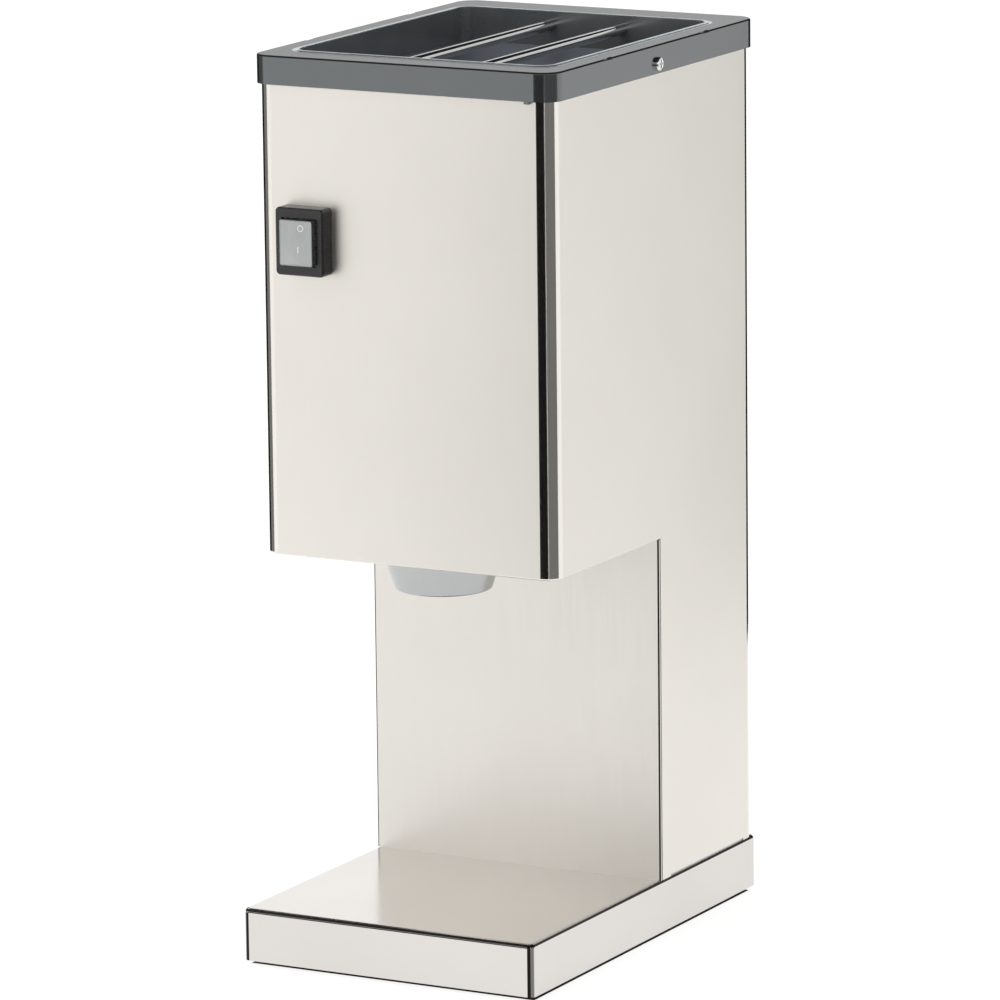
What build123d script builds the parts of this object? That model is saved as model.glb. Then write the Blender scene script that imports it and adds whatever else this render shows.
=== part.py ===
"""Electric ice crusher: a sheet-steel head on a column, over a folded base tray.

Ice goes into the open hopper at the top, past two guard rods. A toothed rotor breaks it
against a fixed comb and the pieces drop through the spout into a glass on the tray. A
horizontal motor behind the rotor drives it through a two-stage spur gearbox.

Millimetres, +Z up, +Y to the back. The origin is the middle of the footprint, on the
surface that the rubber skids stand on.
"""
from build123d import *
import os
from math import acos, cos, pi, radians, sin, tan

# ---------------------------------------------------------------- driving dimensions

# Cabinet
head_width = 180.0
head_depth = 239.4
head_height = 259.2
column_height = 193.4
bay_depth = 121.9
serving_reach = 29.8
tray_back_reach = 1.5
tray_height = 29.5
sheet = 1.0
bend_radius = 9.0
joint_gap = 0.1
hem_radius = 1.2

# Base tray and what stands under it
tray_sheet = 1.2
tray_corner_radius = 3.5
tray_edge_radius = 2.4
plate_thickness = 1.5
plate_gap = 0.3
tab_width = 14.0
tab_reach = 12.0
tab_end_inset = 40.0
skid_thickness = 2.8
skid_width = 22.0
skid_side_inset = 3.0
skid_front_inset = 13.0
skid_back_inset = 20.0
skid_plug_radius = 3.5
skid_plug_head_radius = 5.0
skid_plug_head_height = 1.5
skid_plug_end_inset = 7.0

# Column
panel_thickness = 1.2
panel_gap = 1.1
panel_flange = 14.0
column_slot = 1.3
column_tab_front = 10.0
column_tab_back = 14.2
foot_sheet = 2.0
foot_flange = 20.0
foot_bolt_inset = 22.0

# Head floor and its chassis plate
floor_flange = 10.0
chassis_sheet = 2.0
chassis_flange = 18.0
wire_hole_width = 26.0
wire_hole_length = 60.0

# Rear service cover
cover_overlap = 8.0
cover_side_inset = 18.0
cover_bottom_inset = 12.0
cover_top_inset = 16.0
louvre_length = 88.0
louvre_height = 4.0
louvre_pitch = 10.0
louvre_count = 8
cover_screw_rows = 4

# Hopper rim
rim_height = 15.9
rim_overhang = 2.5
rim_top_thickness = 3.0
rim_wall = 3.0
rim_side_flange = 15.0
rim_front_flange = 22.3
rim_back_flange = 28.5
rim_opening_radius = 9.0
rim_skirt_depth = 19.2
rim_edge_radius = 1.0
rim_lip_width = 2.4
rim_lip_height = 0.5
rim_lip_radius = 0.45
rim_screw_drop = 10.5
rim_notch_length = 10.0
rim_notch_depth = 1.8
rim_notch_height = 1.1
rim_notch_inset = 62.0
rim_nib_width = 3.0
rim_nib_height = 1.4
rim_nib_side = 76.4

# Guard rods
rod_radius = 3.0
rod_side = 22.4
rod_drop = 7.4

# Hopper chute
chute_ledge = 0.8
chute_flange = 8.0
chute_drop = 88.0
throat_width = 66.0
throat_length = 48.0
throat_corner_radius = 4.0
chute_foot_flange = 7.0

# Crushing chamber
spout_setback = 39.6
rotor_height = 83.6
chamber_radius = 38.0
chamber_length = 50.0
chamber_wall = 6.0
chamber_top = 45.0
chamber_neck_width = 62.0
chamber_foot_width = 104.0
chamber_foot_thickness = 5.0
chamber_cover_thickness = 10.0
outlet_radius = 25.0

# Fixed comb
comb_window_height = 18.0
comb_tooth_thickness = 4.0
comb_plate_thickness = 3.0
comb_plate_height = 40.0
comb_clearance = 1.6

# Rotor
blade_radius = 35.5
blade_thickness = 4.0
blade_gap = 7.0
blade_count = 4
blade_hub_radius = 17.0
blade_teeth = 3
blade_stagger = 30.0
spacer_radius = 13.5
hexagon_flats = 20.0
collar_radius = 15.0
collar_thickness = 2.5
collar_setback = 3.0
nut_flats = 27.0
nut_height = 8.0
front_journal_radius = 7.5
rear_journal_radius = 10.0

# Bearings and seal: outer radius, width
front_bearing_radius = 16.0
front_bearing_width = 9.0
rear_bearing_radius = 16.0
rear_bearing_width = 7.0
motor_bearing_radius = 14.0
motor_bearing_width = 8.0
seal_radius = 16.0
running_gap = 0.05

# Spout
spout_drop = 18.4
spout_tip_radius = 26.7
spout_flare = 0.33
spout_wall = 2.6
spout_flange_thickness = 3.0
spout_flange_length = 56.0
spout_tip_fillet = 1.2
spout_hole_gap = 1.0

# Gearbox
gearbox_gap = 7.0
gearbox_wall = 4.0
gearbox_front_wall = 10.0
gearbox_length = 40.0
gearbox_cover_thickness = 6.0
gasket_thickness = 0.5
gear_side_gap = 2.5
gear_end_gap = 1.0
pinion_teeth = 12
output_teeth = 48
wheel_teeth = 60
output_module = 1.5
wheel_module = 1.25
output_face = 12.0
wheel_face = 8.0
train_angle = -45.0
gear_backlash = 0.2
axle_radius = 4.0
idler_hub_radius = 7.0
boss_radius = 5.0
leg_length = 28.0

# Motor
motor_radius = 46.0
stator_length = 42.0
stator_bore_radius = 26.0
air_gap = 0.4
bell_length = 23.0
bell_wall = 8.0
bell_end = 4.0
tie_bolt_angle = 22.5
winding_radius = 37.0
winding_length = 12.0
motor_shaft_radius = 6.0
motor_core_shaft_radius = 8.0
fan_radius = 37.5
fan_length = 10.0
fan_blades = 9
cradle_half_width = 34.0
cradle_sheet = 3.0

# Electrics in the column
capacitor_radius = 18.0
capacitor_height = 80.0
clamp_sheet = 1.5
clamp_height = 14.0
terminal_length = 56.0
terminal_width = 22.0
terminal_height = 20.0
terminal_ways = 5
terminal_recess = 2.0
terminal_sleeve_height = 8.0
gland_height = 30.0
gland_side = 52.0
gland_bore_radius = 4.0
gland_neck_radius = 7.0
gland_flange_radius = 10.5
gland_reach = 8.0
gland_tail = 12.0
loom_radius = 3.0
loom_drop_reach = 19.0
loom_drop_height = 44.0

# Rocker switch on the head's front
switch_side = 58.9
switch_drop = 83.5
switch_width = 29.6
switch_height = 37.1
switch_proud = 10.0
switch_frame_radius = 2.4
boot_width = 20.2
boot_height = 25.0
boot_proud = 14.0
boot_wall = 0.7
boot_flange = 0.8
boot_gap = 0.7
switch_body_width = 24.0
switch_body_height = 31.0
switch_body_depth = 17.0
switch_lip = 3.0
rocker_width = 16.0
rocker_face_length = 8.9
rocker_throw = 18.0
rocker_proud = 0.2
rocker_shoulder = 0.4
rocker_root = 2.5
rocker_heel = 5.3
rocker_heel_depth = 3.5
rocker_gap = 0.8
rocker_end_gap = 1.7
rocker_pivot_radius = 1.5

# Fasteners: thread radius, head radius, head height
small_screw = (2.0, 3.75, 2.2)
large_screw = (2.5, 4.75, 2.8)
bolt = (3.0, 5.5, 4.0)
screw_clearance = 0.25
thread_gap = 0.05

# ---------------------------------------------------------------- derived places

back_reach = sheet + gland_reach
whole_depth = serving_reach + head_depth + back_reach
tray_front = -whole_depth / 2
tray_depth = serving_reach + head_depth + tray_back_reach
tray_back = tray_front + tray_depth
tray_middle = (tray_front + tray_back) / 2
tray_bottom = skid_thickness
tray_top = tray_bottom + tray_height

head_front = tray_front + serving_reach
head_back = head_front + head_depth
head_middle = (head_front + head_back) / 2
head_bottom = tray_top + column_height
rim_bottom = head_bottom + head_height
rim_top = rim_bottom + rim_height
column_front = head_front + bay_depth
column_side_front = column_front + panel_thickness + panel_gap
half_width = head_width / 2
inner_half_width = half_width - sheet
inner_front = head_front + sheet
inner_back = head_back - sheet
inner_bend_radius = bend_radius - sheet
shell_top = rim_top - rim_top_thickness

floor_top = head_bottom + 2 * sheet
chassis_top = floor_top + chassis_sheet
foot_top = tray_top + foot_sheet

rim_width = head_width + 2 * rim_overhang
rim_depth = head_depth + 2 * rim_overhang
opening_width = rim_width - 2 * rim_side_flange
opening_front = head_front - rim_overhang + rim_front_flange
opening_back = head_back + rim_overhang - rim_back_flange
opening_depth = opening_back - opening_front
opening_middle = (opening_front + opening_back) / 2
skirt_bottom = rim_top - rim_skirt_depth
chute_top = skirt_bottom
throat_top = chute_top - chute_drop

spout_y = head_front + spout_setback
rotor_z = head_bottom + rotor_height
chamber_front = spout_y - chamber_length / 2
chamber_back = spout_y + chamber_length / 2
chamber_top_z = rotor_z + chamber_top
chamber_foot_bottom = chassis_top + spout_flange_thickness
chamber_foot_top = chamber_foot_bottom + chamber_foot_thickness
chamber_outer_radius = chamber_radius + chamber_wall
chamber_rear_face = chamber_back + chamber_wall
chamber_cover_front = chamber_front - chamber_cover_thickness

collar_front = chamber_back - collar_setback
stack_length = blade_count * blade_thickness + (blade_count - 1) * blade_gap
stack_front = collar_front - stack_length

gearbox_front = chamber_rear_face + gearbox_gap
gearbox_cavity_front = gearbox_front + gearbox_front_wall
gearbox_split = gearbox_front + gearbox_length
gearbox_cover_front = gearbox_split + gasket_thickness
gearbox_rear = gearbox_cover_front + gearbox_cover_thickness
output_gear_front = gearbox_cavity_front + gear_end_gap
output_gear_back = output_gear_front + output_face
shaft_back = output_gear_back + 1.0
wheel_front = shaft_back + gear_side_gap
wheel_back = wheel_front + wheel_face

output_distance = output_module * (pinion_teeth + output_teeth) / 2
wheel_distance = wheel_module * (pinion_teeth + wheel_teeth) / 2
idler_x = output_distance * cos(radians(train_angle))
idler_z = rotor_z + output_distance * sin(radians(train_angle))
motor_x = idler_x - wheel_distance * cos(radians(train_angle))
motor_z = idler_z - wheel_distance * sin(radians(train_angle))
stub_addendum = 0.75
stub_dedendum = 1.0
output_tip_radius = output_module * (output_teeth / 2 + stub_addendum)
wheel_tip_radius = wheel_module * (wheel_teeth / 2 + stub_addendum)

motor_front = gearbox_rear
stator_front = motor_front + bell_length
stator_back = stator_front + stator_length
motor_back = stator_back + bell_length
front_motor_bearing = motor_front + bell_end
rear_motor_bearing = motor_back - bell_end - motor_bearing_width
fan_front = motor_back + 2.0
motor_shaft_back = fan_front + fan_length + 1.0
tie_bolt_radius = motor_radius - bell_wall / 2

switch_x = -switch_side
switch_z = rim_bottom - switch_drop
switch_face = head_front - switch_proud
switch_body_front = switch_face + switch_lip + boot_flange
rocker_pivot_y = head_front - 3.0


# ---------------------------------------------------------------- shared shapes

def block(x_span, y_span, z_span):
    """A box between the low and high value on each axis."""
    size = [high - low for low, high in (x_span, y_span, z_span)]
    middle = [(high + low) / 2 for low, high in (x_span, y_span, z_span)]
    return Pos(*middle) * Box(*size)


def rod_y(radius, y_span, x=0.0, z=0.0):
    """A round bar along Y."""
    low, high = y_span
    turned = Rot(-90, 0, 0) * Cylinder(radius, high - low)
    return Pos(x, (low + high) / 2, z) * turned


def rod_z(radius, z_span, x=0.0, y=0.0):
    """A round bar along Z."""
    low, high = z_span
    return Pos(x, y, (low + high) / 2) * Cylinder(radius, high - low)


def rod_x(radius, x_span, y=0.0, z=0.0):
    """A round bar along X."""
    low, high = x_span
    return Pos((low + high) / 2, y, z) * (Rot(0, 90, 0) * Cylinder(radius, high - low))


def extrude_y(outline, y_span):
    """An outline drawn with x to the right and z up, taken from the low to the high y."""
    low, high = y_span
    face = Plane((0, high, 0), x_dir=(1, 0, 0), z_dir=(0, -1, 0)) * outline
    return extrude(face, amount=high - low)


def rounded_column(width, depth, radius, z_span, y=0.0):
    """An upright block with rounded corners, centred on x = 0 and the given y."""
    low, high = z_span
    return Pos(0, y, low) * extrude(RectangleRounded(width, depth, radius), amount=high - low)


def fuse(shapes):
    """One shape from many that touch."""
    first, *rest = shapes
    for shape in rest:
        first = first + shape
    return first


def screw(size, length):
    """A pan-head screw, its head above z = 0 and its thread below."""
    thread_radius, head_radius, head_height = size
    head = rod_z(head_radius, (0, head_height))
    head = fillet(head.edges().sort_by(Axis.Z)[-1], head_height * 0.45)
    slot_width = head_radius * 0.28
    slot_reach = head_radius * 0.62
    slot_span = (head_height * 0.5, head_height + 1)
    cross = block((-slot_reach, slot_reach), (-slot_width / 2, slot_width / 2), slot_span)
    cross += block((-slot_width / 2, slot_width / 2), (-slot_reach, slot_reach), slot_span)
    return head - cross + rod_z(thread_radius, (-length, 0))


def hexagon(flats, y_span, x=0.0, z=0.0):
    """A hexagonal bar along Y."""
    outline = Pos(x, z) * RegularPolygon(flats / 2, 6, major_radius=False)
    return extrude_y(outline, y_span)


def bearing(inner_radius, outer_radius, y_span, x=0.0, z=0.0):
    """A shielded ball bearing: two grooved rings, a ring of balls and two shields."""
    low, high = y_span
    middle = (low + high) / 2
    pitch_radius = (inner_radius + outer_radius) / 2
    ball_radius = (outer_radius - inner_radius) * 0.27
    ring_land = (outer_radius - inner_radius) * 0.27
    outer = rod_y(outer_radius, y_span, x, z) - rod_y(outer_radius - ring_land, y_span, x, z)
    inner = rod_y(inner_radius + ring_land, y_span, x, z) - rod_y(inner_radius, y_span, x, z)
    groove = Pos(x, middle, z) * (Rot(90, 0, 0) * Torus(pitch_radius, ball_radius + 0.02))
    shields = []
    for shield_low in (low + 0.2, high - 0.7):
        span = (shield_low, shield_low + 0.5)
        disc = rod_y(outer_radius - ring_land, span, x, z)
        shields.append(disc - rod_y(inner_radius + ring_land + 0.2, span, x, z))
    balls = []
    ball_count = int(pi / (ball_radius / pitch_radius) * 0.8)
    for index in range(ball_count):
        angle = 2 * pi * index / ball_count
        place = Pos(x + pitch_radius * cos(angle), middle, z + pitch_radius * sin(angle))
        balls.append(place * Sphere(ball_radius))
    return [outer - groove + shields[0] + shields[1], inner - groove] + balls


def gear_outline(teeth, module, tooth_angle):
    """Stub involute teeth of 20 degrees, one of them centred on tooth_angle."""
    pressure = radians(20)
    pitch_radius = module * teeth / 2
    base_radius = pitch_radius * cos(pressure)
    tip_radius = pitch_radius + stub_addendum * module
    root_radius = pitch_radius - stub_dedendum * module
    half_tooth = pi / (2 * teeth) - gear_backlash / (4 * pitch_radius)
    flank_start = max(root_radius, base_radius)

    def flank_angle(radius):
        roll = acos(min(1.0, base_radius / radius))
        return half_tooth + (tan(pressure) - pressure) - (tan(roll) - roll)

    def point(radius, angle):
        return (radius * cos(angle), radius * sin(angle))

    steps = 5
    radii = [flank_start + (tip_radius - flank_start) * step / (steps - 1) for step in range(steps)]
    edges = []
    for tooth in range(teeth):
        middle = radians(tooth_angle) + 2 * pi * tooth / teeth
        next_middle = middle + 2 * pi / teeth
        rising = [point(radius, middle - flank_angle(radius)) for radius in radii]
        falling = [point(radius, middle + flank_angle(radius)) for radius in reversed(radii)]
        root_angle = flank_angle(flank_start)
        root_in = point(root_radius, middle - root_angle)
        root_out = point(root_radius, middle + root_angle)
        if root_radius < base_radius:
            edges.append(Line(root_in, rising[0]))
        edges.append(Spline(*rising))
        edges.append(ThreePointArc(rising[-1], point(tip_radius, middle), falling[0]))
        edges.append(Spline(*falling))
        if root_radius < base_radius:
            edges.append(Line(falling[-1], root_out))
        gap_middle = (middle + next_middle) / 2
        next_root = point(root_radius, next_middle - root_angle)
        edges.append(ThreePointArc(root_out, point(root_radius, gap_middle), next_root))
    return make_face(edges)


def gear(teeth, module, tooth_angle, y_span, x, z):
    """A spur gear on an axis along Y."""
    outline = Pos(x, z) * gear_outline(teeth, module, tooth_angle)
    return extrude_y(outline, y_span)


# ---------------------------------------------------------------- base

def tab_rows():
    """The y of each welded tab along the tray's long walls."""
    first = tray_front + tab_end_inset
    last = tray_back - tab_end_inset
    return [first, (first + last) / 2, last]


def tab_screw_places():
    """Where the base plate is screwed to the tabs."""
    side = half_width - tray_sheet - tab_reach / 2
    return [(x, y) for x in (-side, side) for y in tab_rows()]


def foot_bolt_places():
    """Where the column is bolted down through the tray."""
    side = inner_half_width - foot_bolt_inset
    front = column_front + foot_bolt_inset
    back = head_back - foot_bolt_inset
    return [(x, y) for x in (-side, side) for y in (front, back)]


def skid_plug_places():
    """Where the skids' moulded plugs snap into the base plate."""
    side = half_width - skid_side_inset - skid_width / 2
    front = tray_front + skid_front_inset
    back = tray_back - skid_back_inset
    rows = [(low + high) / 2 for low, high in zip(tab_rows(), tab_rows()[1:])]
    rows += [front + skid_plug_end_inset, back - skid_plug_end_inset]
    return [(x, y) for x in (-side, side) for y in rows]


def base_tray():
    """Folded tray, open below, with tabs for the base plate and nut plates for the column."""
    outer = rounded_column(
        head_width, tray_depth, tray_corner_radius, (tray_bottom, tray_top), tray_middle
    )
    outer = fillet(outer.faces().sort_by(Axis.Z)[-1].edges(), tray_edge_radius)
    inner = rounded_column(
        head_width - 2 * tray_sheet,
        tray_depth - 2 * tray_sheet,
        tray_corner_radius - tray_sheet,
        (tray_bottom - 1, tray_top - tray_sheet),
        tray_middle,
    )
    inner = fillet(inner.faces().sort_by(Axis.Z)[-1].edges(), tray_edge_radius - tray_sheet)
    tray = outer - inner
    tab_bottom = tray_bottom + plate_thickness
    wall = half_width - tray_sheet
    for y in tab_rows():
        for side in (-1, 1):
            x_span = sorted((side * (wall - tab_reach), side * (wall + 0.5)))
            y_span = (y - tab_width / 2, y + tab_width / 2)
            tray += block(x_span, y_span, (tab_bottom, tab_bottom + tray_sheet))
    for x, y in tab_screw_places():
        tray -= rod_z(small_screw[0] + thread_gap, (tab_bottom - 1, tab_bottom + 5), x, y)
    nut_top = tray_top - tray_sheet
    for x, y in foot_bolt_places():
        tray += rod_z(bolt[1] + 1, (nut_top - 5, nut_top + 0.2), x, y)
        tray -= rod_z(bolt[0] + thread_gap, (nut_top - 6, tray_top + 1), x, y)
    return tray


def base_plate():
    """Flat plate that closes the tray from below."""
    inset = 2 * (tray_sheet + plate_gap)
    corner = tray_corner_radius - tray_sheet
    z_span = (tray_bottom, tray_bottom + plate_thickness)
    plate = rounded_column(head_width - inset, tray_depth - inset, corner, z_span, tray_middle)
    cut_span = (tray_bottom - 1, tray_bottom + plate_thickness + 1)
    for x, y in tab_screw_places():
        plate -= rod_z(small_screw[0] + screw_clearance, cut_span, x, y)
    for x, y in skid_plug_places():
        plate -= rod_z(skid_plug_radius + thread_gap, cut_span, x, y)
    return plate


def base_plate_screws():
    """Screws up through the base plate into the tray's tabs."""
    reach = plate_thickness + tray_sheet + 1.5
    return [Pos(x, y, tray_bottom) * (Rot(180, 0, 0) * screw(small_screw, reach))
            for x, y in tab_screw_places()]


def rubber_skids():
    """Two long rubber strips, with plugs that snap through the base plate."""
    side = half_width - skid_side_inset - skid_width / 2
    front = tray_front + skid_front_inset
    back = tray_back - skid_back_inset
    plate_top = tray_bottom + plate_thickness
    skids = []
    for sign in (-1, 1):
        strip = Pos(sign * side, (front + back) / 2, 0) * extrude(
            RectangleRounded(skid_width, back - front, skid_width * 0.3), amount=skid_thickness
        )
        for x, y in skid_plug_places():
            if x * sign > 0:
                strip += rod_z(skid_plug_radius, (skid_thickness, plate_top), x, y)
                strip += rod_z(
                    skid_plug_head_radius, (plate_top, plate_top + skid_plug_head_height), x, y
                )
        for x, y in tab_screw_places():
            strip -= rod_z(small_screw[1] + 0.6, (-1, skid_thickness), x, y)
        skids.append(strip)
    return skids


# ---------------------------------------------------------------- column and cabinet sheets

def column_foot():
    """Folded channel that bolts the cabinet down on the tray."""
    front = column_front + panel_thickness
    back = inner_back
    plate = block((-inner_half_width, inner_half_width), (front, back), (tray_top, foot_top))
    corner = rounded_column(
        2 * inner_half_width, head_depth - 2 * sheet, inner_bend_radius,
        (tray_top - 1, foot_top + foot_flange), head_middle,
    )
    flange_front = column_side_front + panel_flange + 1
    flange_back = back - inner_bend_radius
    for side in (-1, 1):
        x_span = sorted((side * (inner_half_width - foot_sheet), side * inner_half_width))
        plate += block(x_span, (flange_front, flange_back), (tray_top, foot_top + foot_flange))
    plate = plate & corner
    for x, y in foot_bolt_places():
        plate -= rod_z(bolt[0] + screw_clearance, (tray_top - 1, foot_top + 1), x, y)
    return plate


def column_bolts():
    """Four bolts that hold the column on the tray."""
    reach = foot_sheet + tray_sheet + 6
    return [Pos(x, y, foot_top) * screw(bolt, reach) for x, y in foot_bolt_places()]


def switch_cutout():
    """The hole in the front sheet that the switch passes through."""
    width = switch_body_width / 2 + joint_gap
    height = switch_body_height / 2 + joint_gap
    return block(
        (switch_x - width, switch_x + width),
        (head_front - 1, inner_front + 1),
        (switch_z - height, switch_z + height),
    )


def cover_opening_span():
    """The service opening in the cabinet's back: its x and z spans."""
    side = half_width - cover_side_inset
    return (-side, side), (tray_top + cover_bottom_inset, rim_bottom - cover_top_inset)


def cover_screw_places():
    """The screws round the service cover, in x and z."""
    (left, right), (low, high) = cover_opening_span()
    margin = cover_overlap / 2
    rows = [low + (high - low) * row / (cover_screw_rows - 1) for row in range(cover_screw_rows)]
    return [(x, z) for x in (left - margin, right + margin) for z in rows]


def rim_screw_height():
    """The height of the screws that hold the hopper rim."""
    return rim_top - rim_screw_drop


def body_shell():
    """Wrapped sheet: the head's four walls, with the column's sides and back in one piece."""
    outer_plan = (head_width, head_depth, bend_radius)
    inner_plan = (2 * inner_half_width, head_depth - 2 * sheet, inner_bend_radius)
    head = rounded_column(*outer_plan, (head_bottom, shell_top), head_middle)
    head = fillet(head.faces().sort_by(Axis.Z)[0].edges(), hem_radius)
    head -= rounded_column(*inner_plan, (head_bottom + sheet, shell_top + 1), head_middle)
    column_bottom = tray_top + column_slot
    column_span = (tray_top, head_bottom + 3 * hem_radius)
    column = rounded_column(*outer_plan, column_span, head_middle)
    column -= block((-head_width, head_width), (head_front - 1, column_side_front), (0, rim_top))
    shell = head + column
    hollow = rounded_column(*inner_plan, (tray_top - 1, rim_top), head_middle)
    hollow -= block((-head_width, head_width), (head_front, column_front), (0, head_bottom + sheet))
    shell -= hollow
    side = inner_half_width - floor_flange
    shell -= block((-side, side), (inner_front + floor_flange, column_front), (tray_top, floor_top))
    slot_front = column_side_front + column_tab_front
    slot_back = head_back - column_tab_back
    shell -= block((-head_width, head_width), (slot_front, slot_back), (tray_top, column_bottom))
    shell -= switch_cutout()
    shell -= rod_z(spout_hole_radius(), (tray_top, floor_top), 0, spout_y)
    (left, right), (low, high) = cover_opening_span()
    shell -= block((left, right), (inner_back - 1, head_back + 1), (low, high))
    for x, z in cover_screw_places():
        shell -= rod_y(small_screw[0] + 1.0 + thread_gap, (inner_back - 1, head_back + 1), x, z)
    nut_radius = small_screw[0] + 1.0 + thread_gap
    x_span = (-half_width - 1, half_width + 1)
    return shell - rod_x(nut_radius, x_span, head_middle, rim_screw_height())


def bay_panel():
    """Folded sheet: the column's front, and the head's floor in front of it."""
    rear = column_front + panel_thickness
    front = block((-half_width, half_width), (column_front, rear), (tray_top, head_bottom))
    front = fillet(front.edges().filter_by(Axis.Z).group_by(Axis.Y)[0], panel_thickness * 0.8)
    side = inner_half_width - floor_flange
    neck = block((-side, side), (column_front, rear), (head_bottom, floor_top))
    floor = rounded_column(
        2 * inner_half_width, head_depth - 2 * sheet, inner_bend_radius,
        (head_bottom + sheet, floor_top), head_middle,
    )
    floor -= block((-head_width, head_width), (rear, head_back), (tray_top, rim_top))
    panel = front + neck + floor
    flange_bottom = foot_top + foot_flange + 2
    for edge in (-1, 1):
        x_span = sorted((edge * (inner_half_width - sheet), edge * inner_half_width))
        y_span = (rear - 0.1, rear + panel_flange)
        panel += block(x_span, y_span, (flange_bottom, head_bottom - 2))
    return panel - rod_z(spout_hole_radius(), (tray_top, rim_top), 0, spout_y)


def chassis_screw_places():
    """Screws through the chamber's foot and the gearbox's feet into the chassis plate."""
    side = chamber_foot_width / 2 - 6
    reach = spout_flange_length / 2 - 7
    chamber = [(x, spout_y + y) for x in (-side, side) for y in (-reach, reach)]
    gearbox = [(x, y) for x in gearbox_foot_screw_sides() for y in gearbox_foot_screw_rows()]
    return chamber, gearbox


def chassis_plate():
    """Stiff folded plate on the head's floor, which carries the chamber, gearbox and motor."""
    plate = rounded_column(
        2 * inner_half_width, head_depth - 2 * sheet, inner_bend_radius,
        (floor_top, chassis_top + chassis_flange), head_middle,
    )
    side = inner_half_width - chassis_sheet
    plate -= block((-side, side), (head_front, head_back), (chassis_top, rim_top))
    plate -= block((-head_width, head_width), (head_front, inner_front + 12), (chassis_top, rim_top))
    plate -= block((-head_width, head_width), (inner_back - 12, head_back), (chassis_top, rim_top))
    plate -= rod_z(spout_hole_radius(), (0, rim_top), 0, spout_y)
    hole_x = (-inner_half_width + 10, -inner_half_width + 10 + wire_hole_width)
    hole_back = inner_back - 20
    plate -= block(hole_x, (hole_back - wire_hole_length, hole_back), (0, rim_top))
    chamber, gearbox = chassis_screw_places()
    for x, y in chamber + gearbox:
        plate -= rod_z(large_screw[0] + thread_gap, (floor_top - 1, chassis_top + 1), x, y)
    return plate


def chassis_screws():
    """Screws that hold the chamber and the gearbox down."""
    chamber, gearbox = chassis_screw_places()
    chamber_reach = chamber_foot_top - floor_top - 0.2
    screws = [Pos(x, y, chamber_foot_top) * screw(large_screw, chamber_reach) for x, y in chamber]
    foot_reach = gearbox_foot_top() - floor_top - 0.2
    screws += [Pos(x, y, gearbox_foot_top()) * screw(large_screw, foot_reach) for x, y in gearbox]
    return screws


def rear_cover():
    """Service cover over the cabinet's back, with cooling slots behind the motor."""
    (left, right), (low, high) = cover_opening_span()
    x_span = (left - cover_overlap, right + cover_overlap)
    z_span = (low - cover_overlap, high + cover_overlap)
    cover = block(x_span, (head_back, head_back + sheet), z_span)
    cover = fillet(cover.edges().filter_by(Axis.Y), 4.0)
    first = motor_z - louvre_pitch * (louvre_count - 1) / 2
    for index in range(louvre_count):
        slot = Pos(0, first + louvre_pitch * index) * SlotOverall(louvre_length, louvre_height)
        cover -= extrude_y(slot, (head_back - 1, head_back + sheet + 1))
    for x, z in cover_screw_places():
        cover -= rod_y(small_screw[0] + screw_clearance, (head_back - 1, head_back + 2), x, z)
    hole = (head_back - 1, head_back + 2)
    return cover - rod_y(gland_neck_radius + thread_gap, hole, gland_side, gland_z())


def rear_cover_screws():
    """Screws round the service cover."""
    turn = Rot(-90, 0, 0)
    return [Pos(x, head_back + sheet, z) * (turn * screw(small_screw, 8))
            for x, z in cover_screw_places()]


def rivet_nut():
    """A threaded insert: flange above z = 0, barrel below."""
    barrel_radius = small_screw[0] + 1.0
    flange = rod_z(barrel_radius + 1.4, (0, 0.8))
    barrel = rod_z(barrel_radius, (-sheet, 0))
    return flange + barrel - rod_z(small_screw[0] + thread_gap, (-sheet - 1, 2))


def rivet_nuts():
    """Threaded inserts for the service cover's screws and the rim's screws."""
    nuts = []
    for x, z in cover_screw_places():
        nuts.append(Pos(x, inner_back, z) * (Rot(90, 0, 0) * rivet_nut()))
    for side in (-1, 1):
        nuts.append(Pos(side * inner_half_width, head_middle, rim_screw_height())
                    * (Rot(0, -90 * side, 0) * rivet_nut()))
    return nuts


# ---------------------------------------------------------------- hopper

def opening_column(spare, z_span):
    """An upright block as large as the hopper's opening, and larger all round by the spare."""
    return rounded_column(
        opening_width + 2 * spare, opening_depth + 2 * spare, rim_opening_radius + spare,
        z_span, opening_middle,
    )


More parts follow.
